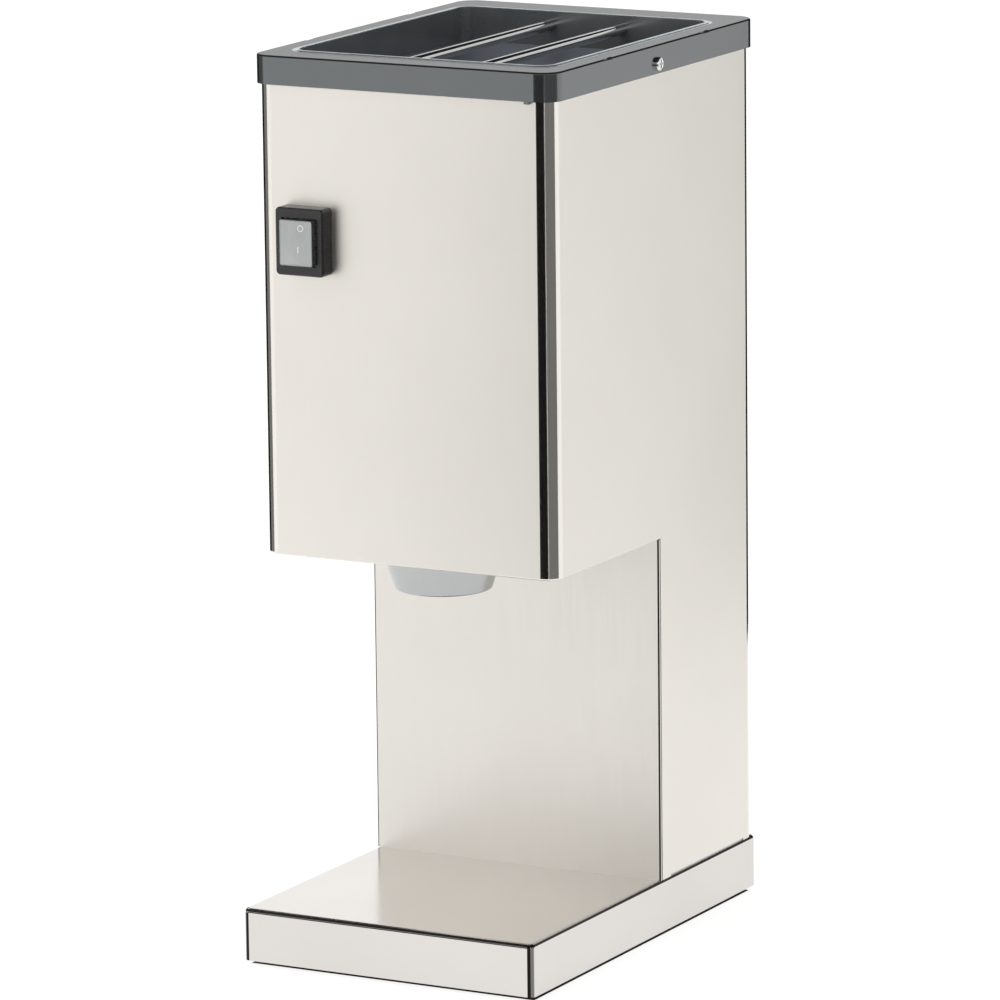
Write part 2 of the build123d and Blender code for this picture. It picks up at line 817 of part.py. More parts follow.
def hopper_rim():
    """Moulded frame that caps the cabinet and leads the ice in, with a bead round its mouth."""
    rim = rounded_column(
        rim_width, rim_depth, bend_radius + rim_overhang, (rim_bottom, rim_top), head_middle
    )
    rim = fillet(rim.faces().sort_by(Axis.Z)[-1].edges(), rim_edge_radius)
    rim -= rounded_column(
        head_width + 2 * joint_gap, head_depth + 2 * joint_gap, bend_radius + joint_gap,
        (rim_bottom - 1, shell_top), head_middle,
    )
    rim += opening_column(rim_wall, (skirt_bottom, rim_top - rim_edge_radius))
    lip_top = rim_top + rim_lip_height
    rim += opening_column(rim_lip_width, (rim_top - rim_edge_radius, lip_top))
    rim -= opening_column(0, (skirt_bottom - 1, lip_top + 1))
    rim = fillet(rim.faces().sort_by(Axis.Z)[-1].edges(), rim_lip_radius)
    notch_x = rim_width / 2 - rim_notch_depth
    for y in (head_front + rim_notch_inset, head_back - rim_notch_inset):
        y_span = (y - rim_notch_length / 2, y + rim_notch_length / 2)
        for side in (-1, 1):
            x_span = sorted((side * notch_x, side * rim_width))
            rim -= block(x_span, y_span, (rim_top - rim_notch_height, rim_top + 1))
    nib_span = (rim_nib_side - rim_nib_width / 2, rim_nib_side + rim_nib_width / 2)
    rim_front = head_front - rim_overhang
    nib_depth = (rim_front + 0.4, head_front - joint_gap)
    rim += block(nib_span, nib_depth, (rim_bottom - rim_nib_height, rim_bottom + 0.2))
    x_span = (-rim_width, rim_width)
    hole = rod_x(small_screw[0] + screw_clearance, x_span, head_middle, rim_screw_height())
    inner_wall = opening_width / 2 + rim_wall
    keep = block((-inner_wall, inner_wall), (head_front, head_back), (0, rim_top + 1))
    rim -= hole - keep
    for side in (-1, 1):
        rim -= rod_y(rod_radius, rod_span(), side * rod_side, rim_top - rod_drop)
    return rim


def rod_span():
    """The guard rods' ends, sunk in the rim's inner wall."""
    sunk = rim_wall * 0.7
    return (opening_front - sunk, opening_back + sunk)


def guard_rods():
    """Two steel rods across the hopper's mouth that keep hands out."""
    return [rod_y(rod_radius, rod_span(), side * rod_side, rim_top - rod_drop) for side in (-1, 1)]


def rim_screws():
    """One screw in each of the rim's long sides."""
    reach = rim_overhang + sheet + 3
    return [Pos(side * rim_width / 2, head_middle, rim_screw_height())
            * (Rot(0, 90 * side, 0) * screw(small_screw, reach)) for side in (-1, 1)]


def funnel(width, depth, radius, throat_w, throat_d, throat_r):
    """A solid that narrows from the hopper's mouth to the throat."""
    top = Pos(0, opening_middle, chute_top) * RectangleRounded(width, depth, radius)
    bottom = Pos(0, spout_y, throat_top) * RectangleRounded(throat_w, throat_d, throat_r)
    return loft([top, bottom])


def hopper_chute():
    """Sheet funnel from the rim down to the crushing chamber."""
    mouth_w = opening_width - 2 * chute_ledge
    mouth_d = opening_depth - 2 * chute_ledge
    mouth_r = rim_opening_radius - chute_ledge
    two_sheets = 2 * sheet
    outer = funnel(
        mouth_w + two_sheets, mouth_d + two_sheets, mouth_r + sheet,
        throat_width + two_sheets, throat_length + two_sheets, throat_corner_radius + sheet,
    )
    throat_span = (chamber_top_z, throat_top)
    outer += rounded_column(
        throat_width + two_sheets, throat_length + two_sheets, throat_corner_radius + sheet,
        throat_span, spout_y,
    )
    outer += opening_column(chute_flange - chute_ledge, (chute_top - sheet, chute_top))
    outer += rounded_column(
        throat_width + 2 * chute_foot_flange, throat_length + 2 * chute_foot_flange,
        throat_corner_radius + 2, (chamber_top_z, chamber_top_z + sheet), spout_y,
    )
    inner = funnel(mouth_w, mouth_d, mouth_r, throat_width, throat_length, throat_corner_radius)
    inner += rounded_column(
        throat_width, throat_length, throat_corner_radius,
        (chamber_top_z - 1, throat_top), spout_y,
    )
    chute = outer - inner
    for x, y in chute_screw_places():
        chute -= rod_z(1.5 + screw_clearance, (chamber_top_z - 1, chamber_top_z + 2), x, y)
    return chute


def chute_screw_places():
    """The chute's foot is screwed down at each side of the throat."""
    side = throat_width / 2 + chute_foot_flange - 3.2
    reach = throat_length / 2 - 8
    return [(x, spout_y + y) for x in (-side, side) for y in (-reach, reach)]


def chute_screws():
    """Small screws through the chute's foot into the chamber."""
    return [Pos(x, y, chamber_top_z + sheet) * screw((1.5, 2.8, 1.8), 7)
            for x, y in chute_screw_places()]


# ---------------------------------------------------------------- crushing chamber

def spout_outer_radius(z):
    """The outside radius of the tapered spout at a height."""
    return spout_tip_radius + spout_flare * (z - (head_bottom - spout_drop))


def spout_hole_radius():
    """The hole in the floor sheets that the spout hangs through."""
    return spout_outer_radius(chassis_top) + spout_hole_gap


def spout():
    """Tapered outlet with a flange clamped under the chamber's foot."""
    tip = head_bottom - spout_drop
    shoulder = chassis_top
    top = chassis_top + spout_flange_thickness
    cone = Pos(0, spout_y, (tip + shoulder) / 2) * Cone(
        spout_outer_radius(tip), spout_outer_radius(shoulder), shoulder - tip
    )
    cone = fillet(cone.edges().sort_by(Axis.Z)[0], spout_tip_fillet)
    flange = rounded_column(chamber_foot_width, spout_flange_length, 6.0, (shoulder, top), spout_y)
    bore = Pos(0, spout_y, (tip + top) / 2) * Cone(
        spout_outer_radius(tip) - spout_wall, spout_outer_radius(top) - spout_wall, top - tip
    )
    piece = cone + flange - bore
    for x, y in chassis_screw_places()[0]:
        piece -= rod_z(large_screw[0] + screw_clearance, (shoulder - 1, top + 1), x, y)
    return piece


def chamber_top_half_width():
    """Half the width of the block round the throat."""
    return throat_width / 2 + 11.0


def chamber_block(y_span):
    """The chamber's outline: neck, barrel and the block round the throat."""
    neck = chamber_neck_width / 2
    top = chamber_top_half_width()
    shape = block((-neck, neck), y_span, (chamber_foot_top, rotor_z))
    shape += rod_y(chamber_outer_radius, y_span, 0, rotor_z)
    return shape + block((-top, top), y_span, (rotor_z, chamber_top_z))


def chamber_cover_screw_places():
    """The screws round the chamber's front cover, in x and z."""
    top = chamber_top_half_width() - 5
    low = chamber_neck_width / 2 - 5
    high_row = [(x, chamber_top_z - 6) for x in (-top, top)]
    return high_row + [(x, chamber_foot_top + 6) for x in (-low, low)]


def comb_pad_x():
    """The outer face of the pad that the comb is screwed to."""
    return chamber_outer_radius + 3.0


def comb_screw_places():
    """The comb plate's screws, in y and z."""
    reach = chamber_length / 2 - 8
    rise = comb_plate_height / 2 - 5
    return [(spout_y + y, rotor_z + z) for y in (-reach, reach) for z in (-rise, rise)]


def comb_window_span():
    """The slot in the chamber wall that the comb passes through, along y."""
    return (chamber_front + 3, chamber_back - 3)


def chamber_housing():
    """Cast body round the rotor: throat above, outlet below, open at the front."""
    y_span = (chamber_front, chamber_rear_face)
    foot_z = (chamber_foot_bottom, chamber_foot_top)
    housing = chamber_block(y_span)
    housing += rounded_column(chamber_foot_width, spout_flange_length, 6.0, foot_z, spout_y)
    pad_rise = comb_plate_height / 2
    pad_z = (rotor_z - pad_rise, rotor_z + pad_rise)
    housing += block((chamber_radius - 8, comb_pad_x()), y_span, pad_z)
    bore_span = (chamber_front - 1, chamber_back)
    housing -= rod_y(chamber_radius, bore_span, 0, rotor_z)
    throat = throat_width / 2 + 1
    housing -= block((-throat, throat), bore_span, (rotor_z, chamber_top_z + 1))
    housing -= rod_z(outlet_radius - 1.5, (chamber_foot_bottom - 1, rotor_z), 0, spout_y)
    seal_front = chamber_back + 1
    housing -= rod_y(seal_radius, (seal_front, chamber_rear_face + 1), 0, rotor_z)
    housing -= rod_y(rear_journal_radius + 3, (chamber_back - 1, seal_front + 1), 0, rotor_z)
    window = comb_window_height / 2
    window_x = (chamber_radius - 8, comb_pad_x() + 1)
    housing -= block(window_x, comb_window_span(), (rotor_z - window, rotor_z + window))
    for x, z in chamber_cover_screw_places():
        hole_y = (chamber_front - 1, chamber_front + 6.5)
        housing -= rod_y(small_screw[0] + thread_gap, hole_y, x, z)
    for x, y in chassis_screw_places()[0]:
        hole_z = (chamber_foot_bottom - 1, chamber_foot_top + 1)
        housing -= rod_z(large_screw[0] + screw_clearance, hole_z, x, y)
    for x, y in chute_screw_places():
        housing -= rod_z(1.5 + thread_gap, (chamber_top_z - 6.5, chamber_top_z + 1), x, y)
    for y, z in comb_screw_places():
        hole_x = (comb_pad_x() - 6.5, comb_pad_x() + 1)
        housing -= rod_x(small_screw[0] + thread_gap, hole_x, y, z)
    return housing


def chamber_cover():
    """Front end plate, which holds the rotor's front bearing."""
    cover = chamber_block((chamber_cover_front, chamber_front))
    seat = (chamber_front - front_bearing_width, chamber_front + 1)
    cover -= rod_y(front_bearing_radius, seat, 0, rotor_z)
    span = (chamber_cover_front - 1, chamber_front + 1)
    for x, z in chamber_cover_screw_places():
        cover -= rod_y(small_screw[0] + screw_clearance, span, x, z)
        head_span = (chamber_cover_front - 1, chamber_cover_front + small_screw[2] + 0.3)
        cover -= rod_y(small_screw[1] + screw_clearance, head_span, x, z)
    return cover


def chamber_cover_screws():
    """Screws through the front cover into the chamber."""
    seat = chamber_cover_front + small_screw[2] + 0.3
    reach = chamber_front + 6 - seat
    return [Pos(x, seat, z) * (Rot(90, 0, 0) * screw(small_screw, reach))
            for x, z in chamber_cover_screw_places()]


def crusher_comb():
    """Fixed comb: three teeth that reach between the rotor's blades."""
    pad = comb_pad_x()
    rise = comb_plate_height / 2
    plate_y = (spout_y - chamber_length / 2 + 1, spout_y + chamber_length / 2 - 1)
    comb = block((pad, pad + comb_plate_thickness), plate_y, (rotor_z - rise, rotor_z + rise))
    low, high = comb_window_span()
    bar_height = comb_window_height / 2 - joint_gap
    bar_y = (low + joint_gap, high - joint_gap)
    comb += block((chamber_radius + 0.5, pad), bar_y, (rotor_z - bar_height, rotor_z + bar_height))
    tip = spacer_radius + comb_clearance
    root = chamber_radius + 1
    outline = Polyline(
        (root, rotor_z - bar_height), (root, rotor_z + bar_height),
        (tip, rotor_z + 2), (tip, rotor_z - 2), close=True,
    )
    outline = make_face(outline)
    for index in range(blade_count - 1):
        middle = stack_front + blade_thickness + blade_gap / 2
        middle += index * (blade_thickness + blade_gap)
        half = comb_tooth_thickness / 2
        comb += extrude_y(outline, (middle - half, middle + half))
    for y, z in comb_screw_places():
        hole = (pad - 1, pad + comb_plate_thickness + 1)
        comb -= rod_x(small_screw[0] + screw_clearance, hole, y, z)
    return comb


def comb_screws():
    """Screws that hold the comb's plate on its pad."""
    face = comb_pad_x() + comb_plate_thickness
    return [Pos(face, y, z) * (Rot(0, 90, 0) * screw(small_screw, comb_plate_thickness + 6))
            for y, z in comb_screw_places()]


def front_bearing():
    """Bearing in the chamber's front cover."""
    inner = front_journal_radius + running_gap
    return bearing(inner, front_bearing_radius, (chamber_front - front_bearing_width, chamber_front),
                   0, rotor_z)


def shaft_seal():
    """Rubber lip seal in the chamber's rear wall."""
    span = (chamber_back + 1, chamber_rear_face)
    seal = rod_y(seal_radius, span, 0, rotor_z)
    seal -= rod_y(rear_journal_radius + 2.5, (span[0] + 2, span[1] + 1), 0, rotor_z)
    return seal - rod_y(rear_journal_radius + 0.1, (span[0] - 1, span[1] + 1), 0, rotor_z)


def rear_bearing():
    """Bearing in the gearbox's front wall."""
    inner = rear_journal_radius + running_gap
    span = (gearbox_cavity_front - rear_bearing_width, gearbox_cavity_front)
    return bearing(inner, rear_bearing_radius, span, 0, rotor_z)


# ---------------------------------------------------------------- rotor

def crusher_shaft():
    """Stepped shaft: front journal, thread, hexagon for the blades, collar and gear seat."""
    front = chamber_front - front_bearing_width + 0.4
    thread_front = stack_front - nut_height - 0.6
    collar_back = collar_front + collar_thickness
    shaft = rod_y(front_journal_radius, (front, thread_front), 0, rotor_z)
    shaft += rod_y(front_journal_radius + 0.5, (thread_front, stack_front), 0, rotor_z)
    shaft += hexagon(hexagon_flats, (stack_front, collar_front), 0, rotor_z)
    shaft += rod_y(collar_radius, (collar_front, collar_back), 0, rotor_z)
    shaft += rod_y(rear_journal_radius, (collar_back, output_gear_front), 0, rotor_z)
    return shaft + rod_y(gear_seat_radius(), (output_gear_front, shaft_back), 0, rotor_z)


def gear_seat_radius():
    """The shaft's radius inside the output gear."""
    return rear_journal_radius - 2


def blade_places():
    """The front face of each blade."""
    return [stack_front + index * (blade_thickness + blade_gap) for index in range(blade_count)]


def blade_outline(turn):
    """A hub with hooked teeth, turned by an angle."""
    outline = Circle(blade_hub_radius)
    corners = [(0.5, -34), (0.74, -16), (1.0, -7), (1.0, 2), (0.8, 5), (0.62, 17), (0.45, 34)]
    points = []
    for share, angle in corners:
        radius = blade_radius * share
        points.append((radius * cos(radians(angle)), radius * sin(radians(angle))))
    tooth = make_face(Polyline(*points, close=True))
    for index in range(blade_teeth):
        outline += Rot(0, 0, turn + 360 * index / blade_teeth) * tooth
    return outline


def crusher_blades():
    """Toothed steel blades on the hexagon, each a step round from the last."""
    blades = []
    for index, front in enumerate(blade_places()):
        outline = Pos(0, rotor_z) * blade_outline(index * blade_stagger)
        span = (front, front + blade_thickness)
        blades.append(extrude_y(outline, span) - hexagon(hexagon_flats + 0.1, span, 0, rotor_z))
    return blades


def blade_spacers():
    """Rings that keep the blades apart."""
    rings = []
    for front in blade_places()[:-1]:
        span = (front + blade_thickness, front + blade_thickness + blade_gap)
        ring = rod_y(spacer_radius, span, 0, rotor_z)
        rings.append(ring - hexagon(hexagon_flats + 0.1, span, 0, rotor_z))
    return rings


def shaft_nut():
    """Nut that clamps the blades against the shaft's collar."""
    span = (stack_front - nut_height, stack_front)
    nut = hexagon(nut_flats, span, 0, rotor_z)
    return nut - rod_y(front_journal_radius + 0.5 + thread_gap, span, 0, rotor_z)


def output_gear():
    """Driven gear on the rotor shaft's rear end."""
    span = (output_gear_front, output_gear_back)
    wheel = gear(output_teeth, output_module, train_angle, span, 0, rotor_z)
    for face_span in ((span[0] - 1, span[0] + 3), (span[1] - 3, span[1] + 1)):
        recess = rod_y(output_tip_radius - 6.5, face_span, 0, rotor_z)
        wheel -= recess - rod_y(rear_journal_radius + 4, face_span, 0, rotor_z)
    return wheel - rod_y(gear_seat_radius(), span, 0, rotor_z)


# ---------------------------------------------------------------- gearbox

def train_outline(margin):
    """The line round both gears, a margin outside their teeth."""
    large = Pos(0, rotor_z) * Circle(output_tip_radius + margin)
    small = Pos(idler_x, idler_z) * Circle(wheel_tip_radius + margin)
    return make_hull(large.edges() + small.edges())


def gearbox_boss_places():
    """The gearbox's screw bosses, in x and z."""
    reach = gear_side_gap + gearbox_wall + small_screw[1] + 0.3
    large = output_tip_radius + reach
    small = wheel_tip_radius + reach
    places = []
    for angle in (65, 125, 188):
        turn = radians(angle)
        places.append((large * cos(turn), rotor_z + large * sin(turn)))
    for angle in (-128, -32, 36):
        turn = radians(angle)
        places.append((idler_x + small * cos(turn), idler_z + small * sin(turn)))
    return places


def gearbox_legs():
    """The x spans of the gearbox's two legs, and the height that each reaches."""
    return [(-34, -14, rotor_z - 30), (idler_x + 14, idler_x + 34, idler_z - 30)]


def gearbox_foot_top():
    """The top of the gearbox's feet."""
    return chassis_top + 5.0


def gearbox_foot_screw_sides():
    """The x of the screws in the gearbox's feet."""
    left, right = gearbox_legs()
    return (left[0] - 8, right[1] + 7)


def gearbox_foot_screw_rows():
    """The y of the screws in the gearbox's feet."""
    return (gearbox_front + 4 + leg_length * 0.25, gearbox_front + 4 + leg_length * 0.75)


def gearbox_housing():
    """Cast cup round the gears, on two legs, with the rear bearing in its front wall."""
    span = (gearbox_front, gearbox_split)
    housing = extrude_y(train_outline(gear_side_gap + gearbox_wall), span)
    boss_span = (gearbox_split - 16, gearbox_split)
    for x, z in gearbox_boss_places():
        housing += rod_y(boss_radius, boss_span, x, z)
        web_x = (x * 0.8 + idler_x * 0.2) if z < rotor_z - 40 else x * 0.85
        housing += rod_y(boss_radius * 0.8, boss_span, web_x, z)
    leg_y = (gearbox_front + 4, gearbox_front + 4 + leg_length)
    left, right = gearbox_legs()
    foot_z = (chassis_top, gearbox_foot_top())
    housing += block((left[0], left[1]), leg_y, (chassis_top, left[2]))
    housing += block((left[0] - 15, left[0]), leg_y, foot_z)
    housing += block((right[0], right[1]), leg_y, (chassis_top, right[2]))
    housing += block((right[1], right[1] + 13), leg_y, foot_z)
    housing -= extrude_y(train_outline(gear_side_gap), (gearbox_cavity_front, gearbox_split + 1))
    seat = (gearbox_cavity_front - rear_bearing_width, gearbox_cavity_front + 1)
    housing -= rod_y(rear_bearing_radius, seat, 0, rotor_z)
    housing -= rod_y(rear_journal_radius + 3, (gearbox_front - 1, seat[1]), 0, rotor_z)
    axle_hole = (gearbox_cavity_front - 6, gearbox_cavity_front + 1)
    housing -= rod_y(axle_radius, axle_hole, idler_x, idler_z)
    hole_span = (boss_span[0] - 1, gearbox_split + 1)
    for x, z in gearbox_boss_places():
        housing -= rod_y(small_screw[0] + screw_clearance, hole_span, x, z)
    for x in gearbox_foot_screw_sides():
        for y in gearbox_foot_screw_rows():
            hole = (chassis_top - 1, gearbox_foot_top() + 1)
            housing -= rod_z(large_screw[0] + screw_clearance, hole, x, y)
    return housing


def gearbox_plate(span):
    """A plate with the gearbox's outline, bosses included."""
    plate = extrude_y(train_outline(gear_side_gap + gearbox_wall), span)
    for x, z in gearbox_boss_places():
        plate += rod_y(boss_radius, span, x, z)
    return plate


def gearbox_gasket():
    """Thin gasket between the gearbox's halves."""
    span = (gearbox_split, gearbox_cover_front)
    gasket = gearbox_plate(span) - extrude_y(train_outline(gear_side_gap), span)
    for x, z in gearbox_boss_places():
        gasket -= rod_y(small_screw[0] + screw_clearance, span, x, z)
    return gasket


def gearbox_cover():
    """Rear half of the gearbox, which carries the motor."""
    span = (gearbox_cover_front, gearbox_rear)
    cover = gearbox_plate(span) + rod_y(motor_radius, span, motor_x, motor_z)
    axle_boss = (wheel_back + gear_end_gap, gearbox_cover_front + 1)
    cover += rod_y(axle_radius + 4, axle_boss, idler_x, idler_z)
    axle_hole = (wheel_back - 1, gearbox_cover_front + 4)
    cover -= rod_y(axle_radius, axle_hole, idler_x, idler_z)
    pilot = (gearbox_cover_front - 1, gearbox_rear + 1)
    cover -= rod_y(motor_shaft_radius + 5, pilot, motor_x, motor_z)
    for x, z in gearbox_boss_places():
        cover -= rod_y(small_screw[0] + thread_gap, (span[0] - 1, span[1] - 1), x, z)
    for x, z in tie_bolt_places():
        cover -= rod_y(small_screw[0] + thread_gap, (span[0] + 1, span[1] + 1), x, z)
    return cover


def gearbox_cover_screws():
    """Screws through the housing's bosses into the cover."""
    head = gearbox_split - 16
    reach = gearbox_rear - 1.2 - head
    return [Pos(x, head, z) * (Rot(90, 0, 0) * screw(small_screw, reach))
            for x, z in gearbox_boss_places()]


def idler_axle():
    """Fixed pin that the idler turns on."""
    span = (gearbox_cavity_front - 6, gearbox_cover_front + 4)
    return rod_y(axle_radius, span, idler_x, idler_z)


def idler_pinion():
    """Small gear that drives the output gear, with a hub for the large wheel."""
    tooth_angle = train_angle + 180 + 180 / pinion_teeth
    span = (output_gear_front - gear_end_gap / 2, output_gear_back + gear_end_gap / 2)
    pinion = gear(pinion_teeth, output_module, tooth_angle, span, idler_x, idler_z)
    hub = (span[1], wheel_back + gear_end_gap / 2)
    pinion += rod_y(idler_hub_radius, hub, idler_x, idler_z)
    bore = (span[0] - 1, hub[1] + 1)
    return pinion - rod_y(axle_radius + running_gap, bore, idler_x, idler_z)


def idler_wheel():
    """Large gear of the first stage, pressed on the idler's hub."""
    span = (wheel_front, wheel_back)
    wheel = gear(wheel_teeth, wheel_module, train_angle + 180, span, idler_x, idler_z)
    hole_circle = (wheel_tip_radius + idler_hub_radius) / 2
    for index in range(6):
        turn = 2 * pi * index / 6
        place = (idler_x + hole_circle * cos(turn), idler_z + hole_circle * sin(turn))
        wheel -= rod_y(6.0, span, *place)
    return wheel - rod_y(idler_hub_radius, span, idler_x, idler_z)


# ---------------------------------------------------------------- motor

def tie_bolt_places():
    """The motor's four tie bolts, in x and z."""
    turns = [radians(tie_bolt_angle + 90 * index) for index in range(4)]
    reach = tie_bolt_radius
    return [(motor_x + reach * cos(turn), motor_z + reach * sin(turn)) for turn in turns]


def motor_bell(end_span, wall_span, bearing_span):
    """A cast end bell: end wall, vented rim, bearing seat and tie-bolt holes."""
    low = min(end_span[0], wall_span[0])
    high = max(end_span[1], wall_span[1])
    bell = rod_y(motor_radius, (low, high), motor_x, motor_z)
    hollow = rod_y(motor_radius - bell_wall, wall_span, motor_x, motor_z)
    bearing_boss = rod_y(motor_bearing_radius + 4, bearing_span, motor_x, motor_z)
    bell -= hollow - bearing_boss
    bell -= rod_y(motor_bearing_radius, bearing_span, motor_x, motor_z)
    bell -= rod_y(motor_shaft_radius + 2, (low - 1, high + 1), motor_x, motor_z)
    vent_low = wall_span[0] + 5
    vent_high = wall_span[1] - 5
    for index in range(4):
        reach = (motor_radius - bell_wall - 2, motor_radius + 2)
        vent = block(reach, (vent_low, vent_high), (-9, 9))
        bell -= Pos(motor_x, 0, motor_z) * (Rot(0, 90 * index, 0) * vent)
    for x, z in tie_bolt_places():
        bell -= rod_y(small_screw[0] + screw_clearance, (low - 1, high + 1), x, z)
    return bell


def motor_front_bell():
    """Front end bell, against the gearbox cover."""
    wall = (motor_front + bell_end, stator_front)
    seat = (front_motor_bearing, front_motor_bearing + motor_bearing_width)
    return motor_bell((motor_front, wall[0]), wall, seat)


def motor_rear_bell():
    """Rear end bell, in front of the fan."""
    wall = (stator_back, motor_back - bell_end)
    seat = (rear_motor_bearing, rear_motor_bearing + motor_bearing_width)
    return motor_bell((wall[1], motor_back), wall, seat)


def motor_bearings():
    """The motor's two ball bearings."""
    inner = motor_shaft_radius + running_gap
    rings = []
    for low in (front_motor_bearing, rear_motor_bearing):
        span = (low, low + motor_bearing_width)
        rings += bearing(inner, motor_bearing_radius, span, motor_x, motor_z)
    return rings


def stator_slots(margin, y_span):
    """The slots that hold the winding, less a margin."""
    slots = []
    slot_count = 18
    low = stator_bore_radius + 2.5 + margin
    high = winding_radius - 2 - margin
    for index in range(slot_count):
        bar = block((low, high), y_span, (-2 + margin, 2 - margin))
        slots.append(Pos(motor_x, 0, motor_z) * (Rot(0, 360 * index / slot_count, 0) * bar))
    return slots


def stator_core():
    """Laminated stack with slots for the winding."""
    span = (stator_front, stator_back)
    core = rod_y(motor_radius, span, motor_x, motor_z)
    core -= rod_y(stator_bore_radius, span, motor_x, motor_z)
    for slot in stator_slots(0, (span[0] - 1, span[1] + 1)):
        core -= slot
    for x, z in tie_bolt_places():
        core -= rod_y(small_screw[0] + screw_clearance, span, x, z)
    return core


def stator_windings():
    """Copper winding: a ring of end turns at each end, joined through the slots."""
    inner = stator_bore_radius + 2.5
    front = (stator_front - winding_length, stator_front - 0.3)
    back = (stator_back + 0.3, stator_back + winding_length)
    rings = []
    for span in (front, back):
        ring = rod_y(winding_radius, span, motor_x, motor_z)
        ring = fillet(ring.edges(), 2.0)
        rings.append(ring - rod_y(inner, span, motor_x, motor_z))
    bars = stator_slots(0.2, (front[1] - 1, back[0] + 1))
    return fuse(rings + bars)


def motor_tie_bolts():
    """Long screws that clamp the motor on the gearbox cover."""
    reach = motor_back - (gearbox_cover_front + 1.2)
    return [Pos(x, motor_back, z) * (Rot(-90, 0, 0) * screw(small_screw, reach))
            for x, z in tie_bolt_places()]


def motor_shaft():
    """Stepped motor shaft, from the pinion to the fan."""
    core_span = (stator_front - 6, stator_back + 6)
    pinion_back = wheel_back + gear_end_gap
    shaft = rod_y(axle_radius, (wheel_front - gear_end_gap / 2, pinion_back), motor_x, motor_z)
    shaft += rod_y(motor_shaft_radius, (pinion_back, core_span[0]), motor_x, motor_z)
    shaft += rod_y(motor_core_shaft_radius, core_span, motor_x, motor_z)
    rear = (core_span[1], motor_shaft_back)
    return shaft + rod_y(motor_shaft_radius, rear, motor_x, motor_z)


def motor_pinion():
    """First-stage pinion, pressed on the motor shaft."""
    tooth_angle = train_angle + 180 / pinion_teeth
    span = (wheel_front - gear_end_gap / 2, wheel_back + gear_end_gap)
    pinion = gear(pinion_teeth, wheel_module, tooth_angle, span, motor_x, motor_z)
    return pinion - rod_y(axle_radius, span, motor_x, motor_z)


def rotor_core():
    """The motor's laminated rotor, with its cast end rings."""
    radius = stator_bore_radius - air_gap
    core = rod_y(radius, (stator_front, stator_back), motor_x, motor_z)
    core += rod_y(radius - 4, (stator_front - 5, stator_back + 5), motor_x, motor_z)
    core_span = (stator_front - 6, stator_back + 6)
    return core - rod_y(motor_core_shaft_radius, core_span, motor_x, motor_z)


def cooling_fan():
    """Radial fan on the motor's rear end."""
    disc = (fan_front, fan_front + 1.6)
    span = (fan_front, fan_front + fan_length)
    fan = rod_y(fan_radius, disc, motor_x, motor_z)
    fan += rod_y(motor_shaft_radius + 4, span, motor_x, motor_z)
    for index in range(fan_blades):
        vane = block((motor_shaft_radius + 3, fan_radius - 0.5), span, (-0.8, 0.8))
        fan += Pos(motor_x, 0, motor_z) * (Rot(0, 360 * index / fan_blades, 0) * vane)
    return fan - rod_y(motor_shaft_radius, span, motor_x, motor_z)


def motor_cradle():
    """Folded saddle under the stator, on the chassis plate."""
    span = (stator_front + 2, stator_back - 2)
    x_span = (motor_x - cradle_half_width, motor_x + cradle_half_width)
    cradle = block(x_span, span, (chassis_top, chassis_top + cradle_sheet))
    web_top = motor_z - motor_radius * 0.7
    for low in (span[0], span[1] - cradle_sheet):
        cradle += block(x_span, (low, low + cradle_sheet), (chassis_top, web_top))
    return cradle - rod_y(motor_radius, (span[0] - 1, span[1] + 1), motor_x, motor_z)


# ---------------------------------------------------------------- electrics

def capacitor_place():
    """Where the capacitor stands in the column, in x and y."""
    return -45.0, inner_back - 50


def terminal_place():
    """The middle of the terminal block, in x and y."""
    return gland_side - terminal_length / terminal_ways, inner_back - 46


def start_capacitor():
    """Round can with two tabs on top, standing on the column's foot."""
    x, y = capacitor_place()
    top = foot_top + capacitor_height
    can = rod_z(capacitor_radius, (foot_top, top), x, y)
    can = fillet(can.edges().sort_by(Axis.Z)[-1], 2.0)
    for offset in (-6, 6):
        can += block((x + offset - 0.4, x + offset + 0.4), (y - 3, y + 3), (top - 1, top + 8))
    return can


def capacitor_clamp():
    """Sheet band round the capacitor, with a tail screwed to the column's foot."""
    x, y = capacitor_place()
    low = foot_top
    outer = capacitor_radius + clamp_sheet
    band = rod_z(outer, (low, low + clamp_height), x, y)
    tail = block((x + capacitor_radius, x + outer + 12), (y - 8, y + 8), (low, low + clamp_sheet))
    return band + tail - rod_z(capacitor_radius, (low - 1, low + clamp_height + 1), x, y)


def terminal_ways_x():
    """The x of each way in the terminal block."""
    x, _ = terminal_place()
    pitch = terminal_length / terminal_ways
    return [x + pitch * (way - (terminal_ways - 1) / 2) for way in range(terminal_ways)]


def terminal_block():
    """Moulded block with a brass sleeve in each way."""
    x, y = terminal_place()
    x_span = (x - terminal_length / 2, x + terminal_length / 2)
    y_span = (y - terminal_width / 2, y + terminal_width / 2)
    body = block(x_span, y_span, (foot_top, foot_top + terminal_height))
    sleeves = []
    sleeve_z = foot_top + terminal_sleeve_height
    sleeve_y = (y_span[0] + terminal_recess, y_span[1] - terminal_recess)
    sleeve_radius = loom_radius + 0.2
    for way_x in terminal_ways_x():
        body -= rod_y(sleeve_radius, (y_span[0] - 1, y_span[1] + 1), way_x, sleeve_z)
        sleeve = rod_y(sleeve_radius, sleeve_y, way_x, sleeve_z)
        sleeves.append(sleeve - rod_y(sleeve_radius - 1.4, y_span, way_x, sleeve_z))
    for left, right in zip(terminal_ways_x(), terminal_ways_x()[1:]):
        middle = (left + right) / 2
        groove_z = (foot_top + terminal_height - 4, foot_top + terminal_height + 1)
        body -= block((middle - 0.8, middle + 0.8), (y_span[0] - 1, y_span[1] + 1), groove_z)
    return [body] + sleeves


def gland_z():
    """The height of the mains inlet."""
    return tray_top + gland_height


